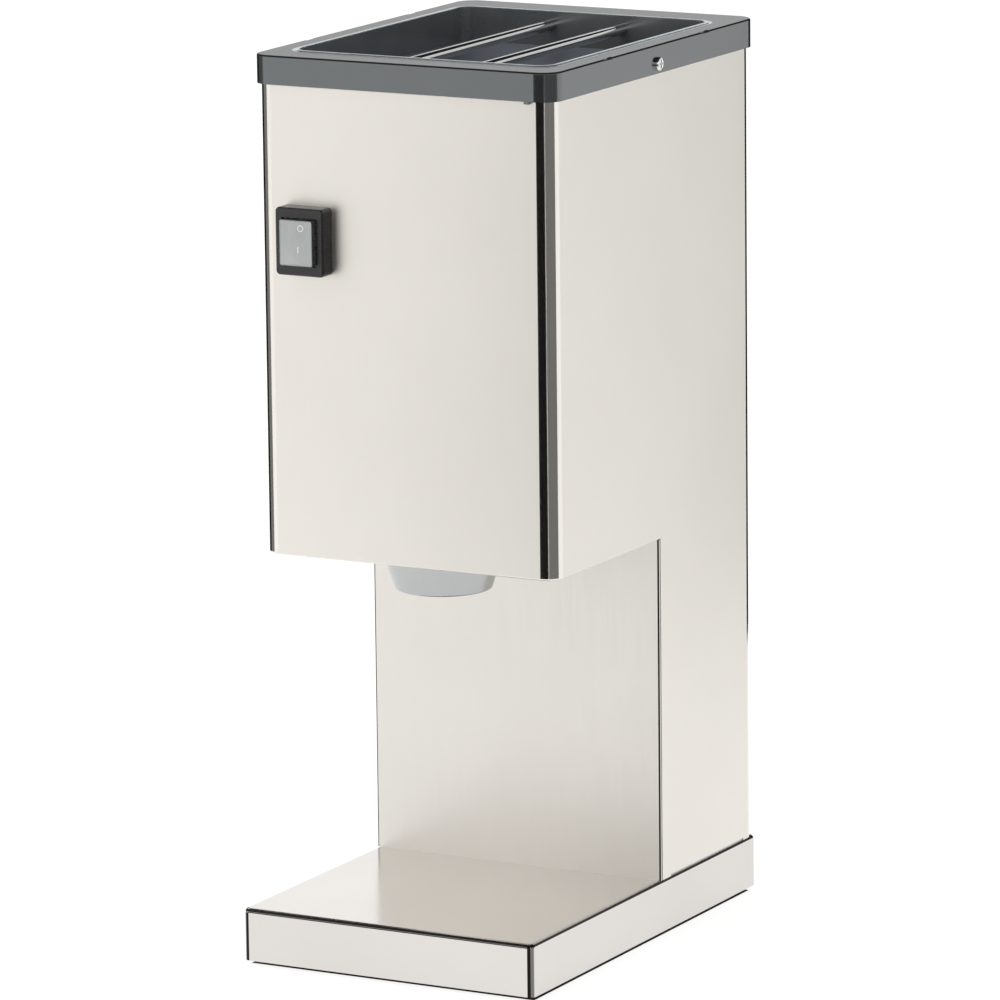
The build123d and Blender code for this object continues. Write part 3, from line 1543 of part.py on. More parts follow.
def cord_gland():
    """Plastic bush for the mains lead, snapped into the service cover."""
    z = gland_z()
    face = head_back + sheet
    flange = rod_y(gland_flange_radius, (face, face + 3), gland_side, z)
    collar = rod_y(gland_neck_radius, (face - 1, face + gland_reach), gland_side, z)
    collar = fillet(collar.edges().sort_by(Axis.Y)[-1], 1.5)
    neck = rod_y(gland_neck_radius, (head_back - gland_tail, face), gland_side, z)
    lock = rod_y(gland_neck_radius + 2, (head_back - 5, head_back), gland_side, z)
    bore = (head_back - gland_tail - 1, face + gland_reach + 1)
    return flange + collar + neck + lock - rod_y(gland_bore_radius, bore, gland_side, z)


def loom(points):
    """A sleeved bundle of wires: straight runs and arcs as large as the runs allow."""
    radii = []
    for before, corner, after in zip(points, points[1:], points[2:]):
        arriving = Vector(*corner) - Vector(*before)
        leaving = Vector(*after) - Vector(*corner)
        half_turn = radians(arriving.get_angle(leaving)) / 2
        radii.append(0.45 * min(arriving.length, leaving.length) / tan(half_turn))
    path = FilletPolyline(*points, radius=radii)
    start = Plane(origin=path @ 0, z_dir=path % 0)
    return sweep(start * Circle(loom_radius), path=path)


def loom_drop(way, side):
    """The last three points of a loom that comes down to one way of the terminal block."""
    _, y = terminal_place()
    x = terminal_ways_x()[way]
    end = y + side * (terminal_width / 2 - terminal_recess)
    turn = end + side * loom_drop_reach
    sleeve_z = foot_top + terminal_sleeve_height
    return [(x, turn, sleeve_z + loom_drop_height), (x, turn, sleeve_z), (x, end, sleeve_z)]


def wiring_looms():
    """Sleeved wires from the inlet, switch, motor and capacitor to the terminal block."""
    inlet_z = gland_z()
    inlet_end = head_back - gland_tail
    supply_end = loom_drop(3, 1)[-1]
    supply = loom([
        (gland_side, inlet_end, inlet_z),
        (gland_side, inlet_end - 7, inlet_z),
        (gland_side, supply_end[1] + 8, supply_end[2]),
        supply_end,
    ])
    side = -inner_half_width + 7
    hole_x = -inner_half_width + 10 + wire_hole_width / 2
    hole_y = inner_back - 20 - wire_hole_length / 2
    switch_loom = loom([
        (switch_x, switch_body_back() + 8, switch_z),
        (switch_x, switch_body_back() + 42, switch_z),
        (side, head_front + 108, switch_z - 40),
        (side, hole_y - 20, switch_z - 104),
        (hole_x - 5, hole_y, head_bottom + 6),
        (hole_x + 8, hole_y - 20, head_bottom - 76),
        *loom_drop(0, -1),
    ])
    vent_y = (stator_back + motor_back - bell_end) / 2
    motor_loom = loom([
        (motor_x - motor_radius + bell_wall, vent_y, motor_z),
        (motor_x - motor_radius - 16, vent_y, motor_z - 4),
        (hole_x + 3, hole_y + 18, head_bottom + 4),
        (hole_x + 14, inner_back - 14, head_bottom - 70),
        *loom_drop(1, 1),
    ])
    capacitor_x, capacitor_y = capacitor_place()
    tabs_top = foot_top + capacitor_height + 8
    capacitor_loom = loom([
        (capacitor_x, capacitor_y, tabs_top),
        (capacitor_x, capacitor_y, tabs_top + 22),
        (capacitor_x + 52, capacitor_y - 20, tabs_top + 12),
        *loom_drop(2, -1),
    ])
    return [supply, switch_loom, motor_loom, capacitor_loom]


# ---------------------------------------------------------------- rocker switch

def switch_body_back():
    """The rear face of the switch's body."""
    return head_front + switch_body_depth


def centred_block(width, height, y_span):
    """A block centred on the switch."""
    return block(
        (switch_x - width / 2, switch_x + width / 2), y_span,
        (switch_z - height / 2, switch_z + height / 2),
    )


def switch_frame():
    """Black surround that stands out of the head's front."""
    frame = centred_block(switch_width, switch_height, (switch_face, head_front))
    frame = fillet(frame.edges().filter_by(Axis.Y), switch_frame_radius)
    frame = fillet(frame.faces().sort_by(Axis.Y)[0].edges(), switch_frame_radius * 0.5)
    opening = (boot_width + 2 * boot_gap, boot_height + 2 * boot_gap)
    lip = switch_face + switch_lip
    frame -= centred_block(*opening, (switch_face - 1, lip + 1))
    back = (switch_body_width + 2 * joint_gap, switch_body_height + 2 * joint_gap)
    return frame - centred_block(*back, (lip, head_front + 1))


def switch_cavity():
    """The pocket that the rocker swings in: its width, height and rear face."""
    reach = rocker_face_length + rocker_shoulder + rocker_end_gap
    depth = rocker_pivot_y + rocker_heel_depth + rocker_heel
    return rocker_width + 2 * rocker_gap, 2 * reach, depth


def switch_body():
    """Insulating body behind the frame, with a pocket for the rocker."""
    body = centred_block(
        switch_body_width, switch_body_height, (switch_body_front, switch_body_back())
    )
    width, height, depth = switch_cavity()
    body -= centred_block(width, height, (switch_body_front - 1, depth))
    pin_reach = rocker_width / 2 + 2 * rocker_gap + joint_gap
    pin = (switch_x - pin_reach, switch_x + pin_reach)
    return body - rod_x(rocker_pivot_radius + running_gap, pin, rocker_pivot_y, switch_z)


def switch_terminals():
    """Four brass tabs at the back of the switch."""
    tabs = []
    back = switch_body_back()
    for x in (-5, 5):
        for z in (-7, 7):
            tab_x = (switch_x + x - 0.4, switch_x + x + 0.4)
            tabs.append(block(tab_x, (back, back + 7.9), (switch_z + z - 3.1, switch_z + z + 3.1)))
    return tabs


def switch_boot():
    """Clear soft cover over the rocker, clamped behind the frame's lip."""
    back = switch_body_front
    outer = centred_block(boot_width, boot_height, (head_front - boot_proud, back))
    outer = fillet(outer.edges().filter_by(Axis.Y), 1.2)
    outer = fillet(outer.faces().sort_by(Axis.Y)[0].edges(), 0.6)
    flange_width = boot_width + 3.0
    flange_height = boot_height + 4.5
    outer += centred_block(flange_width, flange_height, (back - boot_flange, back))
    inner = centred_block(
        boot_width - 2 * boot_wall, boot_height - 2 * boot_wall,
        (head_front - boot_proud + boot_wall, back + 1),
    )
    return outer - inner


def switch_rocker():
    """Rocker whose two faces meet at a low ridge; at rest the upper one is pressed in."""
    half_throw = radians(rocker_throw / 2)
    ridge = switch_face - rocker_proud - rocker_pivot_y
    end = ridge - rocker_face_length * sin(half_throw)
    rise = rocker_face_length * cos(half_throw)
    shoulder = rise + rocker_shoulder
    profile = Polyline(
        (ridge, 0), (end, rise), (-rocker_root, shoulder), (rocker_heel_depth, rocker_heel),
        (rocker_heel_depth, -rocker_heel), (-rocker_root, -shoulder), (end, -rise), close=True,
    )
    face = Plane((0, 0, 0), x_dir=(0, 1, 0), z_dir=(1, 0, 0)) * make_face(profile)
    bar = Rot(-rocker_throw / 2, 0, 0) * extrude(face, amount=rocker_width)
    rocker = Pos(switch_x - rocker_width / 2, rocker_pivot_y, switch_z) * bar
    pin_reach = rocker_width / 2 + 2 * rocker_gap
    pin_x = (switch_x - pin_reach, switch_x + pin_reach)
    return rocker + rod_x(rocker_pivot_radius, pin_x, rocker_pivot_y, switch_z)


# ---------------------------------------------------------------- the whole machine

pieces = {
    "base_tray": base_tray,
    "base_plate": base_plate,
    "base_plate_screws": base_plate_screws,
    "rubber_skids": rubber_skids,
    "column_foot": column_foot,
    "column_bolts": column_bolts,
    "body_shell": body_shell,
    "bay_panel": bay_panel,
    "chassis_plate": chassis_plate,
    "chassis_screws": chassis_screws,
    "rear_cover": rear_cover,
    "rear_cover_screws": rear_cover_screws,
    "rivet_nuts": rivet_nuts,
    "hopper_rim": hopper_rim,
    "rim_screws": rim_screws,
    "guard_rods": guard_rods,
    "hopper_chute": hopper_chute,
    "chute_screws": chute_screws,
    "spout": spout,
    "chamber_housing": chamber_housing,
    "chamber_cover": chamber_cover,
    "chamber_cover_screws": chamber_cover_screws,
    "crusher_comb": crusher_comb,
    "comb_screws": comb_screws,
    "front_bearing": front_bearing,
    "shaft_seal": shaft_seal,
    "rear_bearing": rear_bearing,
    "crusher_shaft": crusher_shaft,
    "crusher_blades": crusher_blades,
    "blade_spacers": blade_spacers,
    "shaft_nut": shaft_nut,
    "output_gear": output_gear,
    "gearbox_housing": gearbox_housing,
    "gearbox_gasket": gearbox_gasket,
    "gearbox_cover": gearbox_cover,
    "gearbox_cover_screws": gearbox_cover_screws,
    "idler_axle": idler_axle,
    "idler_pinion": idler_pinion,
    "idler_wheel": idler_wheel,
    "motor_front_bell": motor_front_bell,
    "motor_rear_bell": motor_rear_bell,
    "motor_bearings": motor_bearings,
    "stator_core": stator_core,
    "stator_windings": stator_windings,
    "motor_tie_bolts": motor_tie_bolts,
    "motor_shaft": motor_shaft,
    "motor_pinion": motor_pinion,
    "rotor_core": rotor_core,
    "cooling_fan": cooling_fan,
    "motor_cradle": motor_cradle,
    "start_capacitor": start_capacitor,
    "capacitor_clamp": capacitor_clamp,
    "terminal_block": terminal_block,
    "cord_gland": cord_gland,
    "wiring_looms": wiring_looms,
    "switch_frame": switch_frame,
    "switch_body": switch_body,
    "switch_terminals": switch_terminals,
    "switch_boot": switch_boot,
    "switch_rocker": switch_rocker,
}

os.makedirs("parts", exist_ok=True)
for name, make in pieces.items():
    made = make()
    solids = made if isinstance(made, list) else [made]
    group = Compound(children=[solid for shape in solids for solid in shape.solids()])
    export_step(group, f"parts/{name}.step")

print("pieces written:", len(pieces))
print("overall, mm:", round(rim_width, 1), round(whole_depth, 1), round(rim_top + rim_lip_height, 1))
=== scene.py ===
from math import cos, pi, radians, sin

import bpy
from mathutils import Matrix, Vector


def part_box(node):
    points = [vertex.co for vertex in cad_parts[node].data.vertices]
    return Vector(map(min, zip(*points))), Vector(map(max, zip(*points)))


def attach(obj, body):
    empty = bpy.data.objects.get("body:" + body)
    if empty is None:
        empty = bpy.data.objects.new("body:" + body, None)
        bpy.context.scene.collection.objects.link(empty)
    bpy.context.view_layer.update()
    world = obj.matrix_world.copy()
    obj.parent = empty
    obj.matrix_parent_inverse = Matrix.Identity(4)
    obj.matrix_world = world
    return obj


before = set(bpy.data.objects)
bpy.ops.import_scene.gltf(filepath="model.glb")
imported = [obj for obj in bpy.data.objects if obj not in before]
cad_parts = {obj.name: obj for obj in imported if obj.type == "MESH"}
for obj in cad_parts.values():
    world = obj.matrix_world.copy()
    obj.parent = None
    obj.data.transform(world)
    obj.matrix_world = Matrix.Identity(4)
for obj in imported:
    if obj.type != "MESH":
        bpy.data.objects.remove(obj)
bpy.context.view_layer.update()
bpy.ops.object.select_all(action="DESELECT")

# ---- camera -------------------------------------------------------------------------------
# A long lens at the photograph's place, a little above the hopper and to the right of the
# machine's front, turned half a degree about its own line of sight.
camera_data = bpy.data.cameras.new("camera")
camera_data.lens = 259.117
camera_data.sensor_width = 36.0
camera_data.clip_end = 100.0
camera = bpy.data.objects.new("camera", camera_data)
bpy.context.scene.collection.objects.link(camera)
turn = radians(28.375)
rise = radians(11.554)
roll = radians(-0.635)
camera_back = Vector((sin(turn) * cos(rise), -cos(turn) * cos(rise), sin(rise)))
level_right = (-camera_back).cross(Vector((0, 0, 1))).normalized()
level_up = level_right.cross(-camera_back)
camera_right = level_right * cos(roll) + level_up * sin(roll)
camera_up = level_up * cos(roll) - level_right * sin(roll)
camera_turn = Matrix((camera_right, camera_up, camera_back)).transposed()
camera_place = Matrix.Translation((1.8539, -3.43603, 1.04099))
camera.matrix_world = camera_place @ camera_turn.to_4x4()
bpy.context.scene.camera = camera
bpy.context.scene.view_settings.view_transform = "Standard"

# ---- studio -------------------------------------------------------------------------------
# A white floor that glows a little under an even white sky, with one large soft light above.
# A dark patch below the tray keeps the shadow of its feet. Dark and grey cards and a dark
# ceiling, which only reflections see, line the rounded edges.
bpy.ops.mesh.primitive_plane_add(size=24, location=(0, 0, 0))
floor = bpy.context.object
floor.name = "floor"
floor_paint = bpy.data.materials.new("floor_paint")
floor_paint.use_nodes = True
floor_shader = floor_paint.node_tree.nodes["Principled BSDF"]
floor_shader.inputs["Base Color"].default_value = (0.17, 0.17, 0.17, 1)
floor_shader.inputs["Emission Color"].default_value = (1.0, 1.0, 0.995, 1)
floor_shader.inputs["Emission Strength"].default_value = 0.86
floor_shader.inputs["Roughness"].default_value = 0.9
floor_shader.inputs["Specular IOR Level"].default_value = 0.1
floor.data.materials.append(floor_paint)

tray_low, tray_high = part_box("base_tray")
tray_size = tray_high - tray_low
shade_height = 0.0002
shade_inset_across, shade_inset_along = 0.004, 0.010
shade_place = (0, (tray_low.y + tray_high.y) / 2, shade_height)
bpy.ops.mesh.primitive_plane_add(size=1, location=shade_place)
contact_shade = bpy.context.object
contact_shade.name = "contact_shade"
contact_shade.scale = (tray_size.x - shade_inset_across, tray_size.y - shade_inset_along, 1)
shade_paint = bpy.data.materials.new("shade_paint")
shade_paint.use_nodes = True
shade_shader = shade_paint.node_tree.nodes["Principled BSDF"]
shade_shader.inputs["Base Color"].default_value = (0.02, 0.02, 0.02, 1)
shade_shader.inputs["Roughness"].default_value = 0.9
contact_shade.data.materials.append(shade_paint)

world = bpy.data.worlds.new("studio")
bpy.context.scene.world = world
world.use_nodes = True
sky = world.node_tree.nodes["Background"]
sky.inputs["Color"].default_value = (1.0, 0.995, 0.985, 1)
sky.inputs["Strength"].default_value = 1.15

bpy.ops.object.light_add(type="AREA", location=(-0.9, -1.1, 2.4))
soft_light = bpy.context.object
soft_light.name = "soft_light"
soft_light.data.shape = "RECTANGLE"
soft_light.data.size = 1.8
soft_light.data.size_y = 1.4
soft_light.data.energy = 26
soft_light.rotation_euler = Vector((0.9, 1.1, -2.1)).to_track_quat("-Z", "Y").to_euler()

# Each card: its first and last angle round the machine, its lowest and highest edge, its tone.
# The ceiling, whose edges are level, closes in to the middle.
cards = {
    "front_card": (-13, 33, 0.0, 0.50, 0.003),
    "right_card": (35, 98, 0.0, 0.50, 0.18),
    "rear_card": (155, 192, 0.0, 0.50, 0.003),
    "left_card": (-88, -58, 0.0, 0.50, 0.20),
    "far_left_card": (-132, -88, 0.0, 0.50, 0.003),
    "back_card": (100, 230, 0.53, 0.80, 0.68),
    "overhead_card": (-180, 180, 0.84, 1.60, 0.02),
    "ceiling_card": (-180, 180, 1.60, 1.60, 0.02),
}
card_reach = 0.8
ceiling_reach = 0.001
card_steps = 24
for card_name, (first, last, low, high, tone) in cards.items():
    top_reach = card_reach if high > low else ceiling_reach
    corners = []
    for step in range(card_steps + 1):
        angle = radians(first + (last - first) * step / card_steps)
        for height, reach in ((low, card_reach), (high, top_reach)):
            corners.append((reach * sin(angle), -reach * cos(angle), height))
    strips = [(2 * i, 2 * i + 2, 2 * i + 3, 2 * i + 1) for i in range(card_steps)]
    card_mesh = bpy.data.meshes.new(card_name)
    card_mesh.from_pydata(corners, [], strips)
    card = bpy.data.objects.new(card_name, card_mesh)
    bpy.context.scene.collection.objects.link(card)
    card_paint = bpy.data.materials.new(card_name + "_paint")
    card_paint.use_nodes = True
    card_nodes = card_paint.node_tree.nodes
    card_nodes.remove(card_nodes["Principled BSDF"])
    glow = card_nodes.new("ShaderNodeEmission")
    glow.inputs["Color"].default_value = (tone, tone, tone, 1)
    glow.inputs["Strength"].default_value = 1.0
    card_out = card_nodes["Material Output"].inputs["Surface"]
    card_paint.node_tree.links.new(glow.outputs["Emission"], card_out)
    card_mesh.materials.append(card_paint)
    card.visible_camera = False
    card.visible_diffuse = False
    card.visible_shadow = False
    card.visible_transmission = False

# ---- rubber skids -------------------------------------------------------------------------
# Two moulded rubber strips that the machine stands on. Matt black, a little dusty, with the
# faint mottling of moulded rubber.


def new_paint(name):
    """A material with nodes, and its shader."""
    paint = bpy.data.materials.new(name)
    paint.use_nodes = True
    return paint, paint.node_tree.nodes["Principled BSDF"]


def add_node(paint, kind, **settings):
    """A node with some of its input sockets set."""
    node = paint.node_tree.nodes.new(kind)
    for socket, value in settings.items():
        node.inputs[socket.replace("_", " ")].default_value = value
    return node


def mottle(paint, scale, stretch=(1, 1, 1), detail=4.0):
    """Noise on the piece's own coordinates, drawn out along an axis."""
    links = paint.node_tree.links
    place = paint.node_tree.nodes.new("ShaderNodeTexCoord")
    mapping = paint.node_tree.nodes.new("ShaderNodeMapping")
    mapping.inputs["Scale"].default_value = stretch
    noise = add_node(paint, "ShaderNodeTexNoise", Scale=scale, Detail=detail)
    links.new(place.outputs["Object"], mapping.inputs["Vector"])
    links.new(mapping.outputs["Vector"], noise.inputs["Vector"])
    return noise.outputs["Fac"]


def ramp(paint, factor, low, high, start=0.3, end=0.7):
    """Two values with a soft change between them, as a colour or a grey."""
    node = paint.node_tree.nodes.new("ShaderNodeValToRGB")
    stops = node.color_ramp.elements
    stops[0].position, stops[1].position = start, end
    stops[0].color, stops[1].color = (*low, 1), (*high, 1)
    paint.node_tree.links.new(factor, node.inputs["Fac"])
    return node.outputs["Color"]


def relief(paint, shader, height, depth):
    """Bump from a height, its depth in metres."""
    bump = add_node(paint, "ShaderNodeBump", Distance=depth, Strength=1.0)
    paint.node_tree.links.new(height, bump.inputs["Height"])
    paint.node_tree.links.new(bump.outputs["Normal"], shader.inputs["Normal"])


def grey(value):
    """A grey as a colour."""
    return (value, value, value)


def moulded(name, dark, light, smooth, rough, grain=1400.0, depth=0.00003):
    """Moulded plastic or rubber: a mottled colour, uneven gloss and a fine grain."""
    paint, shader = new_paint(name)
    links = paint.node_tree.links
    cloud = mottle(paint, 60.0)
    links.new(ramp(paint, cloud, dark, light), shader.inputs["Base Color"])
    fine = mottle(paint, grain, detail=2.0)
    links.new(ramp(paint, fine, grey(smooth), grey(rough)), shader.inputs["Roughness"])
    relief(paint, shader, fine, depth)
    return paint, shader


def metal(name, dark, light, smooth, rough, scale=220.0, stretch=(1, 1, 1), depth=0.00002):
    """Bare metal: a faint change of tone, uneven gloss and grinding or casting marks."""
    paint, shader = new_paint(name)
    links = paint.node_tree.links
    shader.inputs["Metallic"].default_value = 1.0
    links.new(ramp(paint, mottle(paint, 9.0), dark, light), shader.inputs["Base Color"])
    marks = mottle(paint, scale, stretch, detail=6.0)
    links.new(ramp(paint, marks, grey(smooth), grey(rough)), shader.inputs["Roughness"])
    relief(paint, shader, marks, depth)
    return paint


def finish(paint, *nodes):
    """Gives CAD nodes their material."""
    for node in nodes:
        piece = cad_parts[node]
        if not piece.material_slots:
            piece.data.materials.append(paint)
        for slot in piece.material_slots:
            slot.material = paint


def turned(paint):
    """How much each face turns to the side, the front and the top, from 0 to 1."""
    links = paint.node_tree.links
    surface = paint.node_tree.nodes.new("ShaderNodeNewGeometry")
    size = paint.node_tree.nodes.new("ShaderNodeVectorMath")
    size.operation = "ABSOLUTE"
    parts = paint.node_tree.nodes.new("ShaderNodeSeparateXYZ")
    links.new(surface.outputs["Normal"], size.inputs[0])
    links.new(size.outputs["Vector"], parts.inputs["Vector"])
    return parts.outputs


def combine(paint, operation, first, second):
    """Two sockets, or a socket and a constant, in one sum or product."""
    node = paint.node_tree.nodes.new("ShaderNodeMath")
    node.operation = operation
    for socket, value in zip(node.inputs, (first, second)):
        if isinstance(value, (int, float)):
            socket.default_value = value
        else:
            paint.node_tree.links.new(value, socket)
    return node.outputs["Value"]


def span(paint, value, start, end, low, high):
    """A value that goes from low to high while another goes from start to end."""
    node = add_node(
        paint, "ShaderNodeMapRange", From_Min=start, From_Max=end, To_Min=low, To_Max=high
    )
    paint.node_tree.links.new(value, node.inputs["Value"])
    return node.outputs["Result"]


def tinted(paint, tone):
    """The base colour times a tone."""
    links = paint.node_tree.links
    base = paint.node_tree.nodes["Principled BSDF"].inputs["Base Color"]
    product = paint.node_tree.nodes.new("ShaderNodeVectorMath")
    product.operation = "MULTIPLY"
    links.new(base.links[0].from_socket, product.inputs[0])
    links.new(tone, product.inputs[1])
    links.new(product.outputs["Vector"], base)


# Tone of the painted shade lines on the steel's folds and top edges.
painted_shade_tone = 0.02


def paint_fold_shade(paint, shade):
    """Painted shade: a dark and a shaded line up each fold, by how far the fold turns to the side.
    """
    node = paint.node_tree.nodes.new("ShaderNodeValToRGB")
    stops = node.color_ramp.elements
    stops[0].position, stops[1].position = 0.03, 0.95
    stops[0].color = stops[1].color = (*grey(1), 1)
    for place, tone in ((0.10, painted_shade_tone), (0.50, painted_shade_tone), (0.54, shade), (0.86, shade)):
        stops.new(place).color = (*grey(tone), 1)
    faces = turned(paint)
    upright = combine(paint, "ADD", faces["X"], combine(paint, "MULTIPLY", faces["Z"], 3.0))
    paint.node_tree.links.new(upright, node.inputs["Fac"])
    tinted(paint, node.outputs["Color"])


def paint_top_edge_shade(paint):
    """Painted shade: a dark line along the rounded top edges of a sheet."""
    height = turned(paint)["Z"]
    below = span(paint, height, 0.26, 0.34, 1.0, painted_shade_tone)
    above = span(paint, height, 0.74, 0.82, 0.0, 1.0 - painted_shade_tone)
    tinted(paint, combine(paint, "ADD", below, above))


skid_rubber, _ = moulded("skid_rubber", grey(0.012), grey(0.022), 0.62, 0.78, 900.0)
finish(skid_rubber, "rubber_skids")

# ---- base tray, base plate and their screws -----------------------------------------------
# The tray is folded from stainless sheet and brushed along its length, with a soft satin
# shine, and painted shade darkens its folds and top edges. The plate below is zinc-plated,
# held by plated pan-head screws.
tray_steel = metal("tray_steel", (0.69, 0.66, 0.633), (0.725, 0.695, 0.668), 0.15, 0.22, 900.0,
                   (1, 0.03, 1), 0.000004)
# Painted shade: dark lines up the tray's folds and along its rounded top edges.
paint_fold_shade(tray_steel, 0.25)
paint_top_edge_shade(tray_steel)
finish(tray_steel, "base_tray")
plated_sheet = metal("plated_sheet", grey(0.50), (0.60, 0.61, 0.64), 0.28, 0.46, 60.0)
finish(plated_sheet, "base_plate")
plated_screw = metal("plated_screw", grey(0.55), (0.64, 0.65, 0.68), 0.22, 0.34, 700.0)
finish(plated_screw, "base_plate_screws")

# ---- column foot --------------------------------------------------------------------------
# A folded channel of plated sheet that stands inside the column, out of sight. Plated bolts
# hold it down through the tray.
finish(plated_sheet, "column_foot")
finish(plated_screw, "column_bolts")

# ---- cabinet shell and bay panel ----------------------------------------------------------
# One wrapped stainless sheet makes the head's walls and the column's sides; a second folded
# sheet is the column's front and the head's floor. Brushed upright, satin and warm pale
# grey on the flats, with glossier bends, and painted shade darkens the second sheet's
# folded edges.
upright_brush = (1, 1, 0.03)
brush_depth = 0.000002
cabinet_steel = metal("cabinet_steel", (0.785, 0.757, 0.710), (0.815, 0.787, 0.738), 0.09, 0.13,
                      900.0, upright_brush, brush_depth)
cabinet_rough = cabinet_steel.node_tree.nodes["Principled BSDF"].inputs["Roughness"]
cabinet_faces = turned(cabinet_steel)
bend = combine(cabinet_steel, "MULTIPLY", cabinet_faces["X"], cabinet_faces["Y"])
flat_haze = span(cabinet_steel, bend, 0.01, 0.06, 0.30, 0.0)
cabinet_haze = combine(cabinet_steel, "ADD", flat_haze, cabinet_rough.links[0].from_socket)
cabinet_steel.node_tree.links.new(cabinet_haze, cabinet_rough)
finish(cabinet_steel, "body_shell")
panel_steel = metal("panel_steel", (0.722, 0.697, 0.655), (0.752, 0.727, 0.683), 0.30, 0.36,
                    900.0, upright_brush, brush_depth)
# Painted shade: a dark line up the bay panel's folded edges.
paint_fold_shade(panel_steel, painted_shade_tone)
finish(panel_steel, "bay_panel")

# ---- head floor ---------------------------------------------------------------------------
# A stiff plated sheet on the head's floor, with its sides folded up. It carries the chamber,
# the gearbox and the motor, and plated screws hold them down.
finish(plated_sheet, "chassis_plate")
finish(plated_screw, "chassis_screws")

# ---- spout --------------------------------------------------------------------------------
# A tapered outlet of cast aluminium, tumbled to a soft grey shine. Its flange sits on the
# chassis plate, under the chamber, and its tip hangs below the head.
spout_metal = metal("spout_metal", (0.43, 0.443, 0.438), (0.51, 0.522, 0.517), 0.20, 0.28, 1300.0,
                    depth=0.000004)
finish(spout_metal, "spout")

# ---- crushing chamber, comb and rotor -----------------------------------------------------
# The chamber and its cover are sand-cast aluminium, machined where they seal. Blades, comb
# and shaft are ground tool steel, with bright edges and the grinding marks left on.
cast_metal = metal("cast_metal", (0.40, 0.41, 0.42), (0.52, 0.53, 0.54), 0.45, 0.65, 240.0,
                   depth=0.0001)
finish(cast_metal, "chamber_housing", "chamber_cover")
tool_steel = metal("tool_steel", grey(0.44), (0.56, 0.56, 0.57), 0.22, 0.36, 500.0, (1, 0.1, 1))
finish(tool_steel, "crusher_comb", "crusher_shaft", "crusher_blades", "blade_spacers")
finish(plated_screw, "chamber_cover_screws", "comb_screws", "shaft_nut", "chute_screws")
polished_steel = metal("polished_steel", grey(0.66), (0.72, 0.72, 0.725), 0.07, 0.12, 800.0,
                       (1, 0.05, 1), 0.000002)
finish(polished_steel, "front_bearing", "rear_bearing")
finish(skid_rubber, "shaft_seal")

# ---- gearbox ------------------------------------------------------------------------------
# A cast housing and cover with a paper gasket between them, screwed together. The gears are
# cut steel, a little dark with oil.
finish(cast_metal, "gearbox_housing", "gearbox_cover")
gear_steel = metal("gear_steel", grey(0.34), (0.44, 0.44, 0.45), 0.18, 0.30, 700.0)
finish(gear_steel, "output_gear", "idler_pinion", "idler_wheel", "idler_axle", "motor_pinion")
gasket_paper, _ = moulded("gasket_paper", (0.30, 0.21, 0.12), (0.38, 0.28, 0.17), 0.8, 0.9)
finish(gasket_paper, "gearbox_gasket")
finish(plated_screw, "gearbox_cover_screws")

# ---- motor --------------------------------------------------------------------------------
# Cast end bells round a laminated stator with a varnished copper winding, a plastic fan on
# the shaft, and a folded saddle below.
finish(cast_metal, "motor_front_bell", "motor_rear_bell")
core_steel = metal("core_steel", grey(0.16), grey(0.24), 0.45, 0.6, 900.0, (0.2, 8, 0.2))
finish(core_steel, "stator_core", "rotor_core")
copper_wire = metal("copper_wire", (0.42, 0.14, 0.06), (0.62, 0.24, 0.11), 0.25, 0.4, 500.0)
finish(copper_wire, "stator_windings")
finish(tool_steel, "motor_shaft")
finish(polished_steel, "motor_bearings")
finish(plated_screw, "motor_tie_bolts")
fan_plastic, _ = moulded("fan_plastic", grey(0.02), grey(0.03), 0.4, 0.55)
finish(fan_plastic, "cooling_fan")
finish(plated_sheet, "motor_cradle")

# ---- electrics ----------------------------------------------------------------------------
# A capacitor in a white can, a white terminal block with brass sleeves, black sleeved wires,
# and the black bush where the mains lead enters.
white_plastic, _ = moulded("white_plastic", grey(0.62), grey(0.70), 0.25, 0.4)
finish(white_plastic, "start_capacitor", "terminal_block")
finish(plated_sheet, "capacitor_clamp")
black_plastic, _ = moulded("black_plastic", grey(0.013), grey(0.02), 0.38, 0.5)
finish(black_plastic, "cord_gland", "wiring_looms")

# ---- service cover ------------------------------------------------------------------------
# A flat stainless sheet over the cabinet's back with cooling slots, held by polished screws
# that turn into plated rivet nuts.
finish(cabinet_steel, "rear_cover")
finish(polished_steel, "rear_cover_screws")
finish(plated_screw, "rivet_nuts")

# ---- hopper: chute, rim, guard rods and screws --------------------------------------------
# The rim is satin black moulded plastic with a glossy skin and dull rounded edges, with a
# painted highlight band round the mouth, measured from the rim's own box, and a painted
# highlight on the mouth's inner wall. Below it is a dark blue-grey funnel.
# Two polished steel rods cross the mouth, and a chrome screw holds each long side.
chute_plastic, _ = moulded("chute_plastic", (0.062, 0.070, 0.084), (0.078, 0.088, 0.104),
                           0.3, 0.42)
finish(chute_plastic, "hopper_chute")
rim_plastic, rim_shader = moulded("rim_plastic", (0.0105, 0.0112, 0.0115),
                                  (0.0135, 0.0142, 0.0145), 0.15, 0.21, 1600.0, 0.000004)
rim_shader.inputs["IOR"].default_value = 2.3
rim_shader.inputs["Specular Tint"].default_value = (0.93, 0.985, 1.0, 1)
rim_links = rim_plastic.node_tree.links
rim_faces = turned(rim_plastic)
gloss_below_edge = span(rim_plastic, rim_faces["Z"], 0.10, 0.20, 0.5, 0.0)
gloss_above_edge = span(rim_plastic, rim_faces["Z"], 0.93, 0.98, 0.0, 0.5)
rim_gloss = combine(rim_plastic, "ADD", gloss_below_edge, gloss_above_edge)
rim_links.new(rim_gloss, rim_shader.inputs["Specular IOR Level"])

